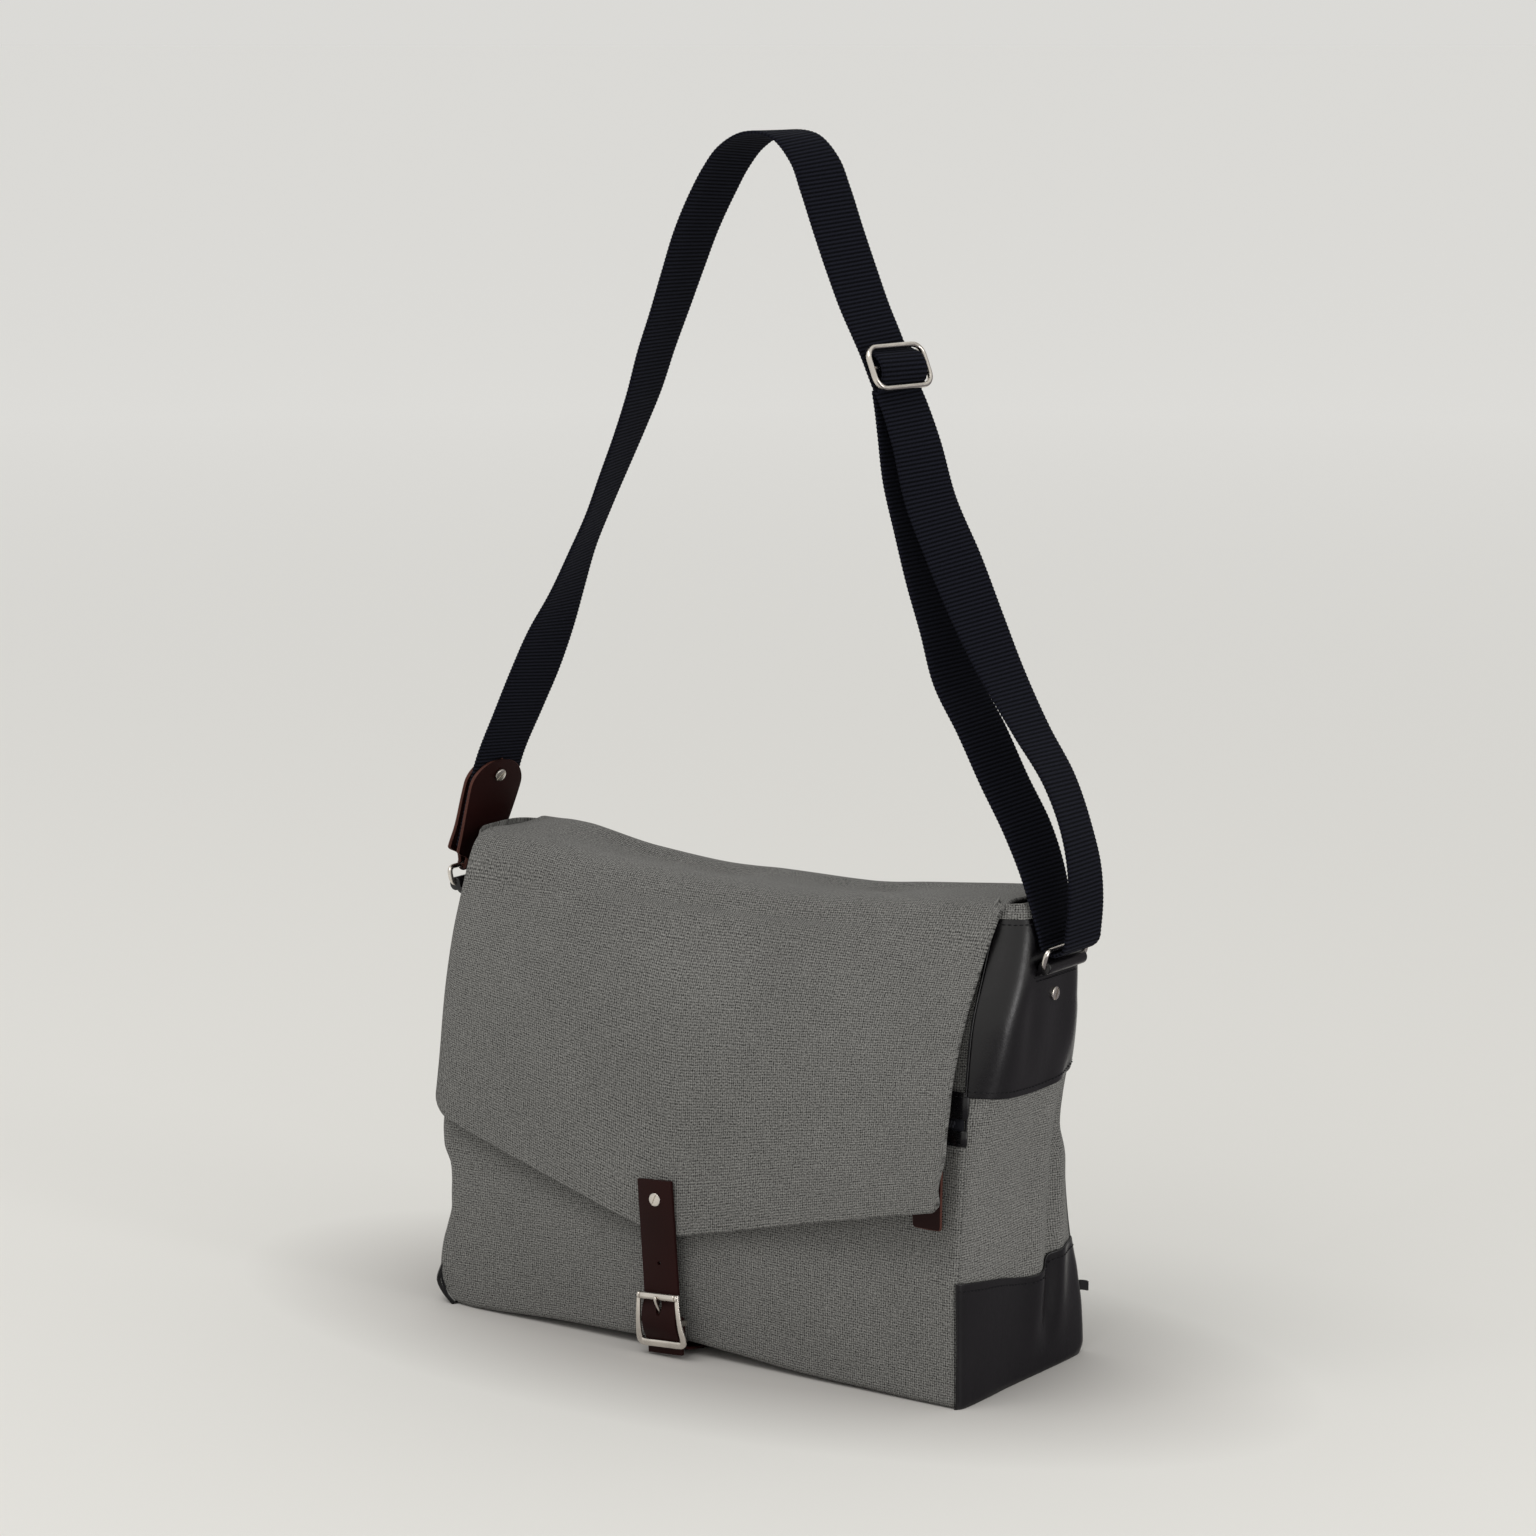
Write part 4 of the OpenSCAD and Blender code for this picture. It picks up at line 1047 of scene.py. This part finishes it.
def buckle():
    """The buckle's frame, its roller and its prong."""
    parts = [buckle_rim()]
    for name, y, z, r, x in (("pin", ROLLER_Y, 0, 1.2, 14.9), ("bar", BAR_Y, BAR_Z, 1.4, 15.3)):
        ends = closure_point(-x, y, z), closure_point(x, y, z)
        parts.append(cylinder_between(name, *ends, r, NICKEL))
    for side in (-1, 1):
        ear = np.array([[side * (13.0 + 0.2 * k), ROLLER_Y, 0] for k in range(10)])
        sizes = np.array([0.75, 0.95, 1, 1, 1, 1, 1, 1, 0.95, 0.75])
        parts.append(sweep("ear", closure(ear), circle(2.35, 20), NICKEL, scale=sizes, sharp=50))
        post = closure(through([[side * 15.2, BAR_Y, BAR_Z], [side * 15.35, BAR_Y - 3.5, BAR_Z + 0.6],
                                [side * 15.2, ROLLER_Y - 0.6, BAR_Z + 1]], 0.8))
        parts.append(sweep("post", post, round_box(3.2, 2.0, 0.6), NICKEL, up=LX, sharp=50))
    ride(joined("buckle_frame_nickel", parts), "closure", "nickel", "buckle_frame")

    span = np.array([-12.6, -12.45, -12.2, -11.6, -6, 0, 6, 11.6, 12.2, 12.45, 12.6])
    roll = closure(np.array([[x, ROLLER_Y, 0] for x in span]))
    sizes = np.array([0.8, 0.93, 1, 1, 1, 1, 1, 1, 1, 0.93, 0.8])
    a = sweep("roller_nickel", roll, circle(2.3, 28), NICKEL, scale=sizes, sharp=50)
    ride(a, "roller", "nickel", "buckle_roller")

    turns = np.radians(np.arange(-30, 296, 25))[::-1]
    eye = [[BAR_Y + 2.15 * math.sin(a), BAR_Z + 2.15 * math.cos(a)] for a in turns]
    tongue = [[-82.7, -12.6], [-85.5, -8.2], [-88.2, -3.6], [-89.3, -0.6], [-89.3, 1.2]]
    path = through([[0, *q] for q in eye + tongue], 0.45)
    size = np.interp(np.linspace(0, 1, len(path)), [0, 0.04, 0.1, 0.6, 0.88, 0.95, 0.985, 1],
                     [0.5, 0.9, 1, 1, 0.95, 0.85, 0.62, 0.25])
    a = sweep("prong_nickel", closure(path), circle(1.05, 14), NICKEL, up=LX, scale=size)
    ride(a, "prong", "nickel", "buckle_prong")


# ---------------------------------------------------------------- rings, loops and the left tab

LOOP = np.array([216.3, 256.5])
RING_TOP = np.array([219.3, 267.1])
RING_HALF = 23.0
WIRE = 1.6


def rounded_loop(half_w, half_h, r, n=7, gap=2.2):
    """A rounded rectangle's outline, for a wire to follow, with points less than two gaps apart."""
    corners = round_box(2 * half_w, 2 * half_h, r, n)
    spaced = []
    for here, after in zip(corners, np.roll(corners, -1, axis=0)):
        count = max(1, int(math.dist(here, after) / gap))
        spaced += [here + (after - here) * j / count for j in range(count)]
    return np.array(spaced)


def ring(side, tag):
    """A wire ring through a ring loop and the strap's end."""
    rise = RING_TOP - LOOP
    size = np.linalg.norm(rise)
    up = np.array([side * rise[0] / size, 0, rise[1] / size])
    centre = np.array([side * (LOOP[0] + RING_TOP[0]) / 2, 0, (LOOP[1] + RING_TOP[1]) / 2])
    path = rounded_loop(RING_HALF, size / 2, 4.2)
    world = centre + path[:, :1] * np.array([0, 1.0, 0]) + path[:, 1:] * up
    normal = np.cross(up, [0, 1.0, 0])
    a = sweep("ring_nickel_" + tag, world, circle(WIRE, 16), NICKEL, up=normal, closed=True)
    ride(a, "ring_" + tag, "nickel", "ring_" + tag)


def ring_loop(side, tag):
    """Leather rolled round the ring's lower bar, its two ends going in through a slit."""
    angles = np.radians(np.linspace(-118, 158, 26))
    outline = [[LOOP[0] + 4.25 * math.cos(a), LOOP[1] + 4.25 * math.sin(a)] for a in angles]
    tail = [[-4.6, -1.6], [-7.2, -2.6], [-12, -3.0], [-12, -6.6], [-7.4, -6.5], [-3.6, -5.4], [-2.4, -4.4]]
    outline = np.array(outline + [[LOOP[0] + x, LOOP[1] + z] for x, z in tail])
    middle = LOOP - np.array([2, 2.1])
    span = np.array([-21, -20.85, -20.5, -19.8, -14, -7, 0, 7, 14, 19.8, 20.5, 20.85, 21])
    sizes = np.array([0.84, 0.93, 0.98, 1, 1, 1, 1, 1, 1, 1, 0.98, 0.93, 0.84])
    verts, m = [], len(outline)
    for y, k in zip(span, sizes):
        for q in outline:
            x, z = middle + (q - middle) * k
            verts.append([side * x, y, z])
    faces = []
    for r in range(len(span) - 1):
        for c in range(m):
            a, b = r * m + c, r * m + (c + 1) % m
            faces.append([a, b, b + m, a + m] if side > 0 else [a, a + m, b + m, b])
    ends = [list(range(m - 1, -1, -1)), [(len(span) - 1) * m + c for c in range(m)]]
    faces += ends if side > 0 else [e[::-1] for e in ends]
    a = make("ring_loop_leather_" + tag, verts, faces, NAVY, sharp=48)
    ride(a, None, "leather_navy", "ring_loop_" + tag)
    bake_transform(a)
    ys = np.linspace(-22.6, 22.6, 40)
    z = np.full(40, 250.6)
    path = np.stack([side * (gusset_x(ys, z, side) + 1.9), ys, z], 1)
    slit = sweep("loop_slit_" + tag, path, circle(0.8, 8), DARK_THREAD, up=[side, 0, 0])
    normals = np.tile([side, 0.0, 0.0], (40, 1))
    row = stitches("loop_stitch_" + tag, path + np.array([side * 0.2, 0, -2.6]), normals, DARK_THREAD)
    ride(joined("loop_slit_" + tag, [slit, row]), "root", "leather_navy")
    low, high = box_mm("loop_screw_" + tag)
    z = (low[2] + high[2]) / 2
    face = float(gusset_x(0.0, z, side)) + 1.9
    centre = (side * face, 0, z)
    axes = (0, side, 0), (0, 0, 1), (side, 0, 0)
    head = slotted("loop_screw_head_" + tag, centre, *axes, SCREW_R, 60)
    ride(head, "root", "nickel", "loop_screw_" + tag)


def raw_edge(leaf, p):
    """Gives the narrow edge faces of a leather sheet made from grid p the look of a cut edge."""
    leaf.data.materials.append(BROWN_EDGE)
    for f in leaf.data.polygons[2 * (p.shape[0] - 1) * (p.shape[1] - 1):]:
        f.material_index = 1


TAB_LEAN = math.radians(18.5)
TX, TZ = (math.cos(TAB_LEAN), 0, -math.sin(TAB_LEAN)), (math.sin(TAB_LEAN), 0, math.cos(TAB_LEAN))


def tab(points):
    """The tab's own frame at its ring bar; it twists a little along its length."""
    x, y, z = np.asarray(points, float).T
    turn = np.radians(10) * step_up(z, 4, 62)
    turned = np.stack([x * np.cos(turn) + y * np.sin(turn), y * np.cos(turn) - x * np.sin(turn), z], 1)
    return placed(turned, (-RING_TOP[0], 0, RING_TOP[1]), TX, (0, 1, 0), TZ)


def leaf_outline():
    """Half width of the tab at each place along it: a neck at the ring, then full width, then a
    round end."""
    end = 55 + 18.06 * np.sin(np.linspace(0, math.pi / 2, 22))
    s = np.concatenate([np.linspace(-1.5, 5, 5), np.linspace(6, 13, 8), np.linspace(16, 51, 10), end])
    round_end = 21 * np.sqrt(np.maximum(0, 1 - ((s - 55) / 18.1) ** 2))
    return s, np.where(s < 55, 9.6 + 11.4 * step_up(s, 4.5, 11.5), round_end)


def strap_tab():
    """The leather tab on the left ring: two leaves, the fold round the ring's bar and a screw post."""
    s, wide = leaf_outline()
    v = np.linspace(-1, 1, 26)
    v = np.sign(v) * (1 - (1 - np.abs(v)) ** 1.5)
    parts = []
    for side in (-1, 1):
        near = 2.3 + 0.7 * np.sin(np.clip((s - 6) / 67, 0, 1) * math.pi) * (1 if side < 0 else 0.35)
        near = near + (2.6 * np.exp(-(((s - 10) / 13) ** 2)) * step_up(s, -1, 6) if side < 0 else 0)
        rows = []
        for place, off, half in zip(s, side * near, wide):
            x = off + side * 1.1 + side * 0.25 * (1 - v**2)
            rows.append(np.stack([x, side * v * max(half, 0.3), place + 0 * v], 1))
        p = np.array(rows)
        a = shell("leaf", tab(p.reshape(-1, 3)).reshape(p.shape), 2.2, BROWN)
        raw_edge(a, p)
        a.data.set_sharp_from_angle(angle=math.radians(35))
        parts.append(a)
    turns = np.radians(np.linspace(-20, 200, 16))
    arc = [[-3.0 * math.cos(a), 0, -3.0 * math.sin(a)] for a in turns]
    path = tab([[-3.3, 0, 4]] + arc + [[3.3, 0, 4]])
    t = np.gradient(path, axis=0)
    up = np.cross(np.broadcast_to([0, 1.0, 0], t.shape), t)
    fold = sweep("fold", path, round_box(19.2, 2.2, 0.5), BROWN, up=up, sharp=45)
    parts.append(fold)
    ride(joined("strap_tab_leather", parts), "strap", "leather_brown", "strap_tab")
    middle, front, side_ = tab([[0, 0, 63], [1, 0, 63], [0, 1, 63]])
    out, along = front - middle, side_ - middle
    head = slotted("tab_screw_head", middle + out * 4.85, along, TZ, out, SCREW_R, 50)
    nut = slotted("tab_screw_back", middle - out * 4.85, -along, TZ, -out, SCREW_R, 20)
    ride(joined("tab_screw_heads", [head, nut]), "strap", "nickel", "strap_tab_screw")


# ---------------------------------------------------------------- the shoulder strap

# The strap's strands as [x, z, twist in degrees], upwards on the left and downwards on the right.
WEB_LEFT = [[-214.9, 280.4, 1], [-209.8, 295.5, 4], [-202.8, 316.4, 9], [-196.1, 336.3, 10],
            [-180.6, 368, 12], [-167.5, 394, 13], [-155, 420, 8], [-142, 446, -5],
            [-130, 472, -13], [-117, 497, -15], [-105, 522, -12], [-93, 547, -9],
            [-82, 572, -5]]
WEB_TOP = [[-73, 597, -2], [-63, 621, 0], [-53, 646, 3], [-43, 670, 6], [-30, 694, 8], [-22, 706.5, 8],
           [-11, 719, 9], [7, 728, 10], [28, 726, 11], [42, 712.5, 12], [49.5, 696, 13], [58.5, 673, 13],
           [68, 650, 13], [78.2, 627, 12], [85, 614, 11], [89.6, 605, 10], [98.8, 585, 9], [104.2, 574.5, 9]]
WEB_OUTER = [[113, 553, 11], [123.5, 519, 15], [140.4, 485, 19], [157.3, 451, 15], [172.5, 423, 8],
             [193.5, 390, -1], [212.5, 363, -5], [224.5, 335, -6], [230, 312, -3], [231, 292, -1],
             [229.3, 272.9, 0]]
WEB_INNER = [[212.1, 272.9, 0], [207, 292, 4], [201.8, 309, 8], [192.2, 331, 12], [175.4, 359, 12],
             [159.8, 387, 12], [142.5, 415, 11], [133, 444, 10], [123, 472, 9], [114.5, 501, 9],
             [106.5, 530, 9], [102.5, 558, 9], [100.5, 572, 9], [98.5, 583, 9]]


def web(name, route, width=40.0, thick=2.0, place=None):
    """Ribbed webbing along a route of [x, z, twist]; its ribs cross it, and its selvedges are round."""
    line = through(np.array([[q[0], 0, q[1], q[2]] for q in route], float), 0.45)
    path, twist = line[:, :3], np.radians(line[:, 3])
    t = np.gradient(path, axis=0)
    t /= np.linalg.norm(t, axis=1, keepdims=True)
    wide = np.stack([np.sin(twist), np.cos(twist), 0 * twist], 1)
    wide -= t * (wide * t).sum(1, keepdims=True)
    wide /= np.linalg.norm(wide, axis=1, keepdims=True)
    face = np.cross(wide, t)
    along = lengths_along(path)
    rib = 0.3 * (np.abs(np.sin(math.pi * along / RIB)) ** 0.7 - 0.6)
    section = round_box(1, 1, 0.5, 5)
    across = np.concatenate([[1, 0.985, 0.955], np.linspace(0.9, -0.9, 13), [-0.955, -0.985, -1]])
    high = np.sqrt(np.maximum(0, 1 - np.abs(across) ** 26)) * 0.5
    ring_x = np.concatenate([across, across[-2:0:-1]]) * width / 2
    ring_y = np.concatenate([high, -high[-2:0:-1]]) * thick
    ridge = np.sign(ring_y) * (np.abs(ring_y) > 0.3)
    wobble = 0.22 * np.sin(2 * math.pi * along / RIB)
    x = ring_x[None] * (1 + (wobble / (width / 2))[:, None] * (np.abs(ring_x)[None] > width * 0.47))
    y = ring_y[None] + rib[:, None] * ridge[None]
    verts = path[:, None] + x[..., None] * wide[:, None] + y[..., None] * face[:, None]
    if place is not None:
        verts = place(verts.reshape(-1, 3)).reshape(verts.shape)
    n, m = verts.shape[:2]
    faces = []
    for r in range(n - 1):
        for c in range(m):
            a, b = r * m + c, r * m + (c + 1) % m
            faces.append([a, b, b + m, a + m][::-1])
    faces += [list(range(m)), [(n - 1) * m + c for c in range(m - 1, -1, -1)]]
    st = np.stack(np.meshgrid(ring_x, along), 2).reshape(-1, 2)
    return make(name, verts.reshape(-1, 3), faces, WEB, st)


def strap():
    """The strap's webbing: one piece up to its turn under the right ring, and the inner strand."""
    r, x, z = 8.6, 220.7, 272.5
    turns = np.radians(np.linspace(0, -180, 13))[1:-1]
    under = [[x + r * math.cos(a), z + r * math.sin(a), 0] for a in turns]
    route = WEB_LEFT + WEB_TOP + WEB_OUTER + under + [WEB_INNER[0]]
    a = web("strap_webbing", route)
    ride(a, "strap", "webbing_navy", "strap_left", "strap_top", "strap_right", "strap_outer", "strap_turn")
    b = web("strap_inner_webbing", WEB_INNER)
    ride(b, None, "webbing_navy", "strap_inner")
    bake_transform(b)


SLIDER = (98, 0, 594)


def slider_axes():
    """The slider's axes: out of its face, along its bars and up the strap."""
    a, b = math.radians(-9), math.radians(-24)
    turn = Matrix.Rotation(a, 3, "Z") @ Matrix.Rotation(b, 3, "Y")
    return [tuple(turn @ Vector(v)) for v in ((1, 0, 0), (0, 1, 0), (0, 0, 1))]


def slider():
    """The wire adjuster, its middle bar and the strap's hump over it."""
    axes = slider_axes()

    def at(points):
        return placed(points, SLIDER, *axes)

    path = rounded_loop(23.5, 12.6, 7.5, 9)
    world = at(np.stack([np.full(len(path), 4.4), path[:, 0], path[:, 1]], 1))
    loop = sweep("loop", world, circle(1.6, 16, 1.15), NICKEL, up=axes[0], closed=True)
    bar = cylinder_between("bar", at([[4.4, -22, 0]])[0], at([[4.4, 22, 0]])[0], 1.5, NICKEL)
    ride(joined("slider_nickel", [loop, bar]), "slider", "nickel", "strap_slider")
    rise = [[-0.6, 12.6, 0], [1.6, 10.2, 0], [5.0, 7.4, 0], [7.2, 3.6, 0]]
    hump = rise + [[7.8, 0, 0]] + [[x, -z, 0] for x, z, _ in rise[::-1]]
    a = web("strap_hump_webbing", hump, width=39.0, thick=1.9, place=at)
    ride(a, "slider", "webbing_navy", "strap_hump")


# ---------------------------------------------------------------- the zip's moving pieces


ZIP_SHIFT = -2.5  # how far the slider and pull sit from the CAD's, as the photo shows them


def zip_slider():
    """The slider: two plates, the bridge the pull hangs on and the neck between the plates."""
    low, high = box_mm("zip_slider")
    x0 = (low[0] + high[0]) / 2 + ZIP_SHIFT
    y0 = low[1]
    outline = [[-6, 2.9], [-5.2, 4.2], [3.4, 3.6], [5.8, 1.8], [6, 0], [5.8, -1.8], [3.4, -3.6],
               [-5.2, -4.2], [-6, -2.9]]
    plates = []
    for y, k in ((y0 + 1.0, 1.0), (y0 + 3.6, 0.96)):
        path = np.array([[x0, y + d, ZIP_Z] for d in (-0.65, -0.5, 0.5, 0.65)])
        section = np.array(outline) * k
        plates.append(sweep("plate", path, section, NICKEL, up=[0, 0, 1], scale=[0.9, 1, 1, 0.9],
                            sharp=50))
    bow = ((-4.2, 0.6), (-3.6, -1.0), (0, -1.5), (3.0, -1.0), (3.6, 0.6))
    bridge = through([[x0 + x, y0 + y, ZIP_Z] for x, y in bow], 0.6)
    plates.append(sweep("bridge", bridge, round_box(1.8, 1.0, 0.3), NICKEL, up=[0, 0, 1], sharp=50))
    neck = [(x0 + 4.4, y0 + y, ZIP_Z) for y in (0.5, 4)]
    plates.append(cylinder_between("neck", *neck, 1.0, NICKEL))
    ride(joined("zip_slider_nickel", plates), "zip_slide", "nickel", "zip_slider")
    return y0


def zip_pull(slider_y):
    """The leather pull, with the link that holds it to the slider and its rivet."""
    low, high = box_mm("zip_pull")
    lean = math.radians(1.5)
    hinge = np.array([(low[0] + high[0]) / 2 + ZIP_SHIFT, slider_y - 1.2, ZIP_Z - 4])
    ax, ay = (1, 0, 0), (0, math.cos(lean), -math.sin(lean))
    az = (0, math.sin(lean), math.cos(lean))

    def at(points):
        return placed(points, hinge, ax, ay, az)

    s = np.concatenate([[0, 0.2], np.linspace(1, 55, 26), [55.8, 56]])
    half = np.where(s < 2, 8.1 + 1.2 * np.sqrt(np.maximum(0, 1 - (1 - s / 2) ** 2)), 9.3)
    half = np.where(s > 53.5, 7.3 + 2 * np.sqrt(np.maximum(0, 1 - ((s - 53.5) / 2.5) ** 2)), half)
    v = np.concatenate([[-1, -0.985], np.linspace(-0.94, 0.94, 14), [0.985, 1]])
    y = -2.25 - 0.5 * np.sin(s / 56 * math.pi)
    p = np.stack([half[:, None] * v, y[:, None] + 0 * v, s[:, None] - 58 + 0 * v], 2)
    p = at(p.reshape(-1, 3)).reshape(p.shape)
    leaf = shell("zip_pull_leather", p, 2.1, BROWN)
    raw_edge(leaf, p)
    ride(leaf, "zip_tag", "leather_brown", "zip_pull")
    loop = rounded_loop(3.2, 4.6, 1.6, 6)
    wire = at(np.stack([loop[:, 0], -0.9 + 0.05 * loop[:, 1], loop[:, 1] - 1.0], 1))
    link = sweep("link", wire, circle(0.7, 10), NICKEL, up=[0, 1, 0], closed=True)
    rivet = slotted("rivet", at([[0, -2.9, -13]])[0], ax, az, tuple(-c for c in ay), 3.0, 35, 1.0)
    ride(joined("zip_pull_rivet", [link, rivet]), "zip_tag", "nickel", "zip_pull_screw")


# ---------------------------------------------------------------- build it all

body_front()
zip_band()
for side, tag in ((1, "right"), (-1, "left")):
    gusset(side, tag)
    ring(side, tag)
    ring_loop(side, tag)
seam_piping()
back()
base()
label()
flap()
billet()
anchor_strap()
buckle()
strap_tab()
strap()
slider()
zip_pull(zip_slider())


# ---------------------------------------------------------------- studio and camera


def studio_floor():
    """A wide pale floor, whiter far away, with a painted shadow round the bag: the paper is darker near it,
    standing in for its contact shadow.
    """
    radius, n = [0.4, 1.2, 3, 8, 25, 80], 72
    angles = np.linspace(0, 2 * math.pi, n, endpoint=False)
    verts = [[r * math.cos(a) / MM, r * math.sin(a) / MM, 0] for r in radius for a in angles]
    faces = [list(range(n))]
    for k in range(len(radius) - 1):
        for j in range(n):
            after = (j + 1) % n
            faces.append([k * n + j, (k + 1) * n + j, (k + 1) * n + after, k * n + after])
    s = Shader("studio_paper_with_painted_shadow", (0.66, 0.65, 0.63), 0.95, spec=0.05)
    far = s.length(s.place())
    beside = s.length(s.scaled(s.place(), (1, 1.9, 1)))
    # painted shadow: the paper darkens towards the bag in place of its soft contact shadow
    near = s.mix(s.fit(beside, 0.19, 0.38, 0, 1), (0.54, 0.525, 0.51, 1), (0.79, 0.785, 0.765, 1))
    pale = s.mix(s.fit(far, 0.4, 6.0, 0, 1), near, (0.998, 0.998, 0.995, 1))
    make("studio_floor", verts, faces, s.finish(pale))


def studio_flag():
    """A dark sheet beside the bag and behind it, seen only where the leather reflects it."""
    x0, x1, y0, y1, low, high = 194, 3300, -2600, 3000, 0.4, 2600
    flag = [[x0, y0, low], [x1, y0, low], [x1, y1, low], [x0, y1, low], [x1, y1, high], [x0, y1, high]]
    s = Shader("studio_flag", (0.02, 0.02, 0.02), 0.95, spec=0.05)
    cloth = s.mix(s.noise(s.place(), 60, 2, 0.5), (0.20, 0.19, 0.205, 1), (0.26, 0.248, 0.268, 1))
    dark = make("studio_flag", flag, [[0, 1, 2, 3], [3, 2, 4, 5]], s.finish(cloth))
    dark.visible_camera = dark.visible_diffuse = dark.visible_shadow = False


def light(name, place, aim, size, watts, color):
    """A rectangular lamp at a place, turned to its aim."""
    data = bpy.data.lights.new(name, "AREA")
    data.shape, data.size, data.size_y = "RECTANGLE", *size
    data.energy, data.color = watts, color
    ob = bpy.data.objects.new(name, data)
    bpy.context.scene.collection.objects.link(ob)
    ob.location = place
    ob.rotation_euler = (Vector(aim) - Vector(place)).to_track_quat("-Z", "Y").to_euler()
    ob.visible_camera = False


studio_floor()
studio_flag()
world = bpy.data.worlds.new("studio")
bpy.context.scene.world = world
world.use_nodes = True
world.node_tree.nodes["Background"].inputs[0].default_value = (1.0, 0.99, 0.955, 1)
world.node_tree.nodes["Background"].inputs[1].default_value = 0.708
light("key", (-0.3, -1.7, 3.1), (0, 0, 0.15), (2.2, 1.4), 31, (1.0, 0.985, 0.965))
light("side", (3.0, -0.3, 0.9), (0.2, 0, 0.2), (0.5, 1.6), 12, (1.0, 0.99, 0.98))
light("strip", (1.5, -0.15, 0.15), (0.2, 0, 0.2), (0.12, 0.28), 1.4, (1.0, 0.985, 0.99))

camera = bpy.data.objects.new("camera", bpy.data.cameras.new("camera"))
bpy.context.scene.collection.objects.link(camera)
azimuth, elevation, reach = math.radians(34.69), math.radians(9.93), 2.706
target = Vector((0.0012, 0.0109, 0.3475))
level_reach = math.cos(elevation)
away = Vector((math.sin(azimuth) * level_reach, -math.cos(azimuth) * level_reach, math.sin(elevation)))
camera.location = target + away * reach
camera.rotation_euler = (-away).to_track_quat("-Z", "Y").to_euler()
camera.data.lens, camera.data.sensor_width = 105, 36
camera.data.clip_start, camera.data.clip_end = 0.05, 60
bpy.context.scene.camera = camera
bpy.context.scene.view_settings.view_transform = "Standard"
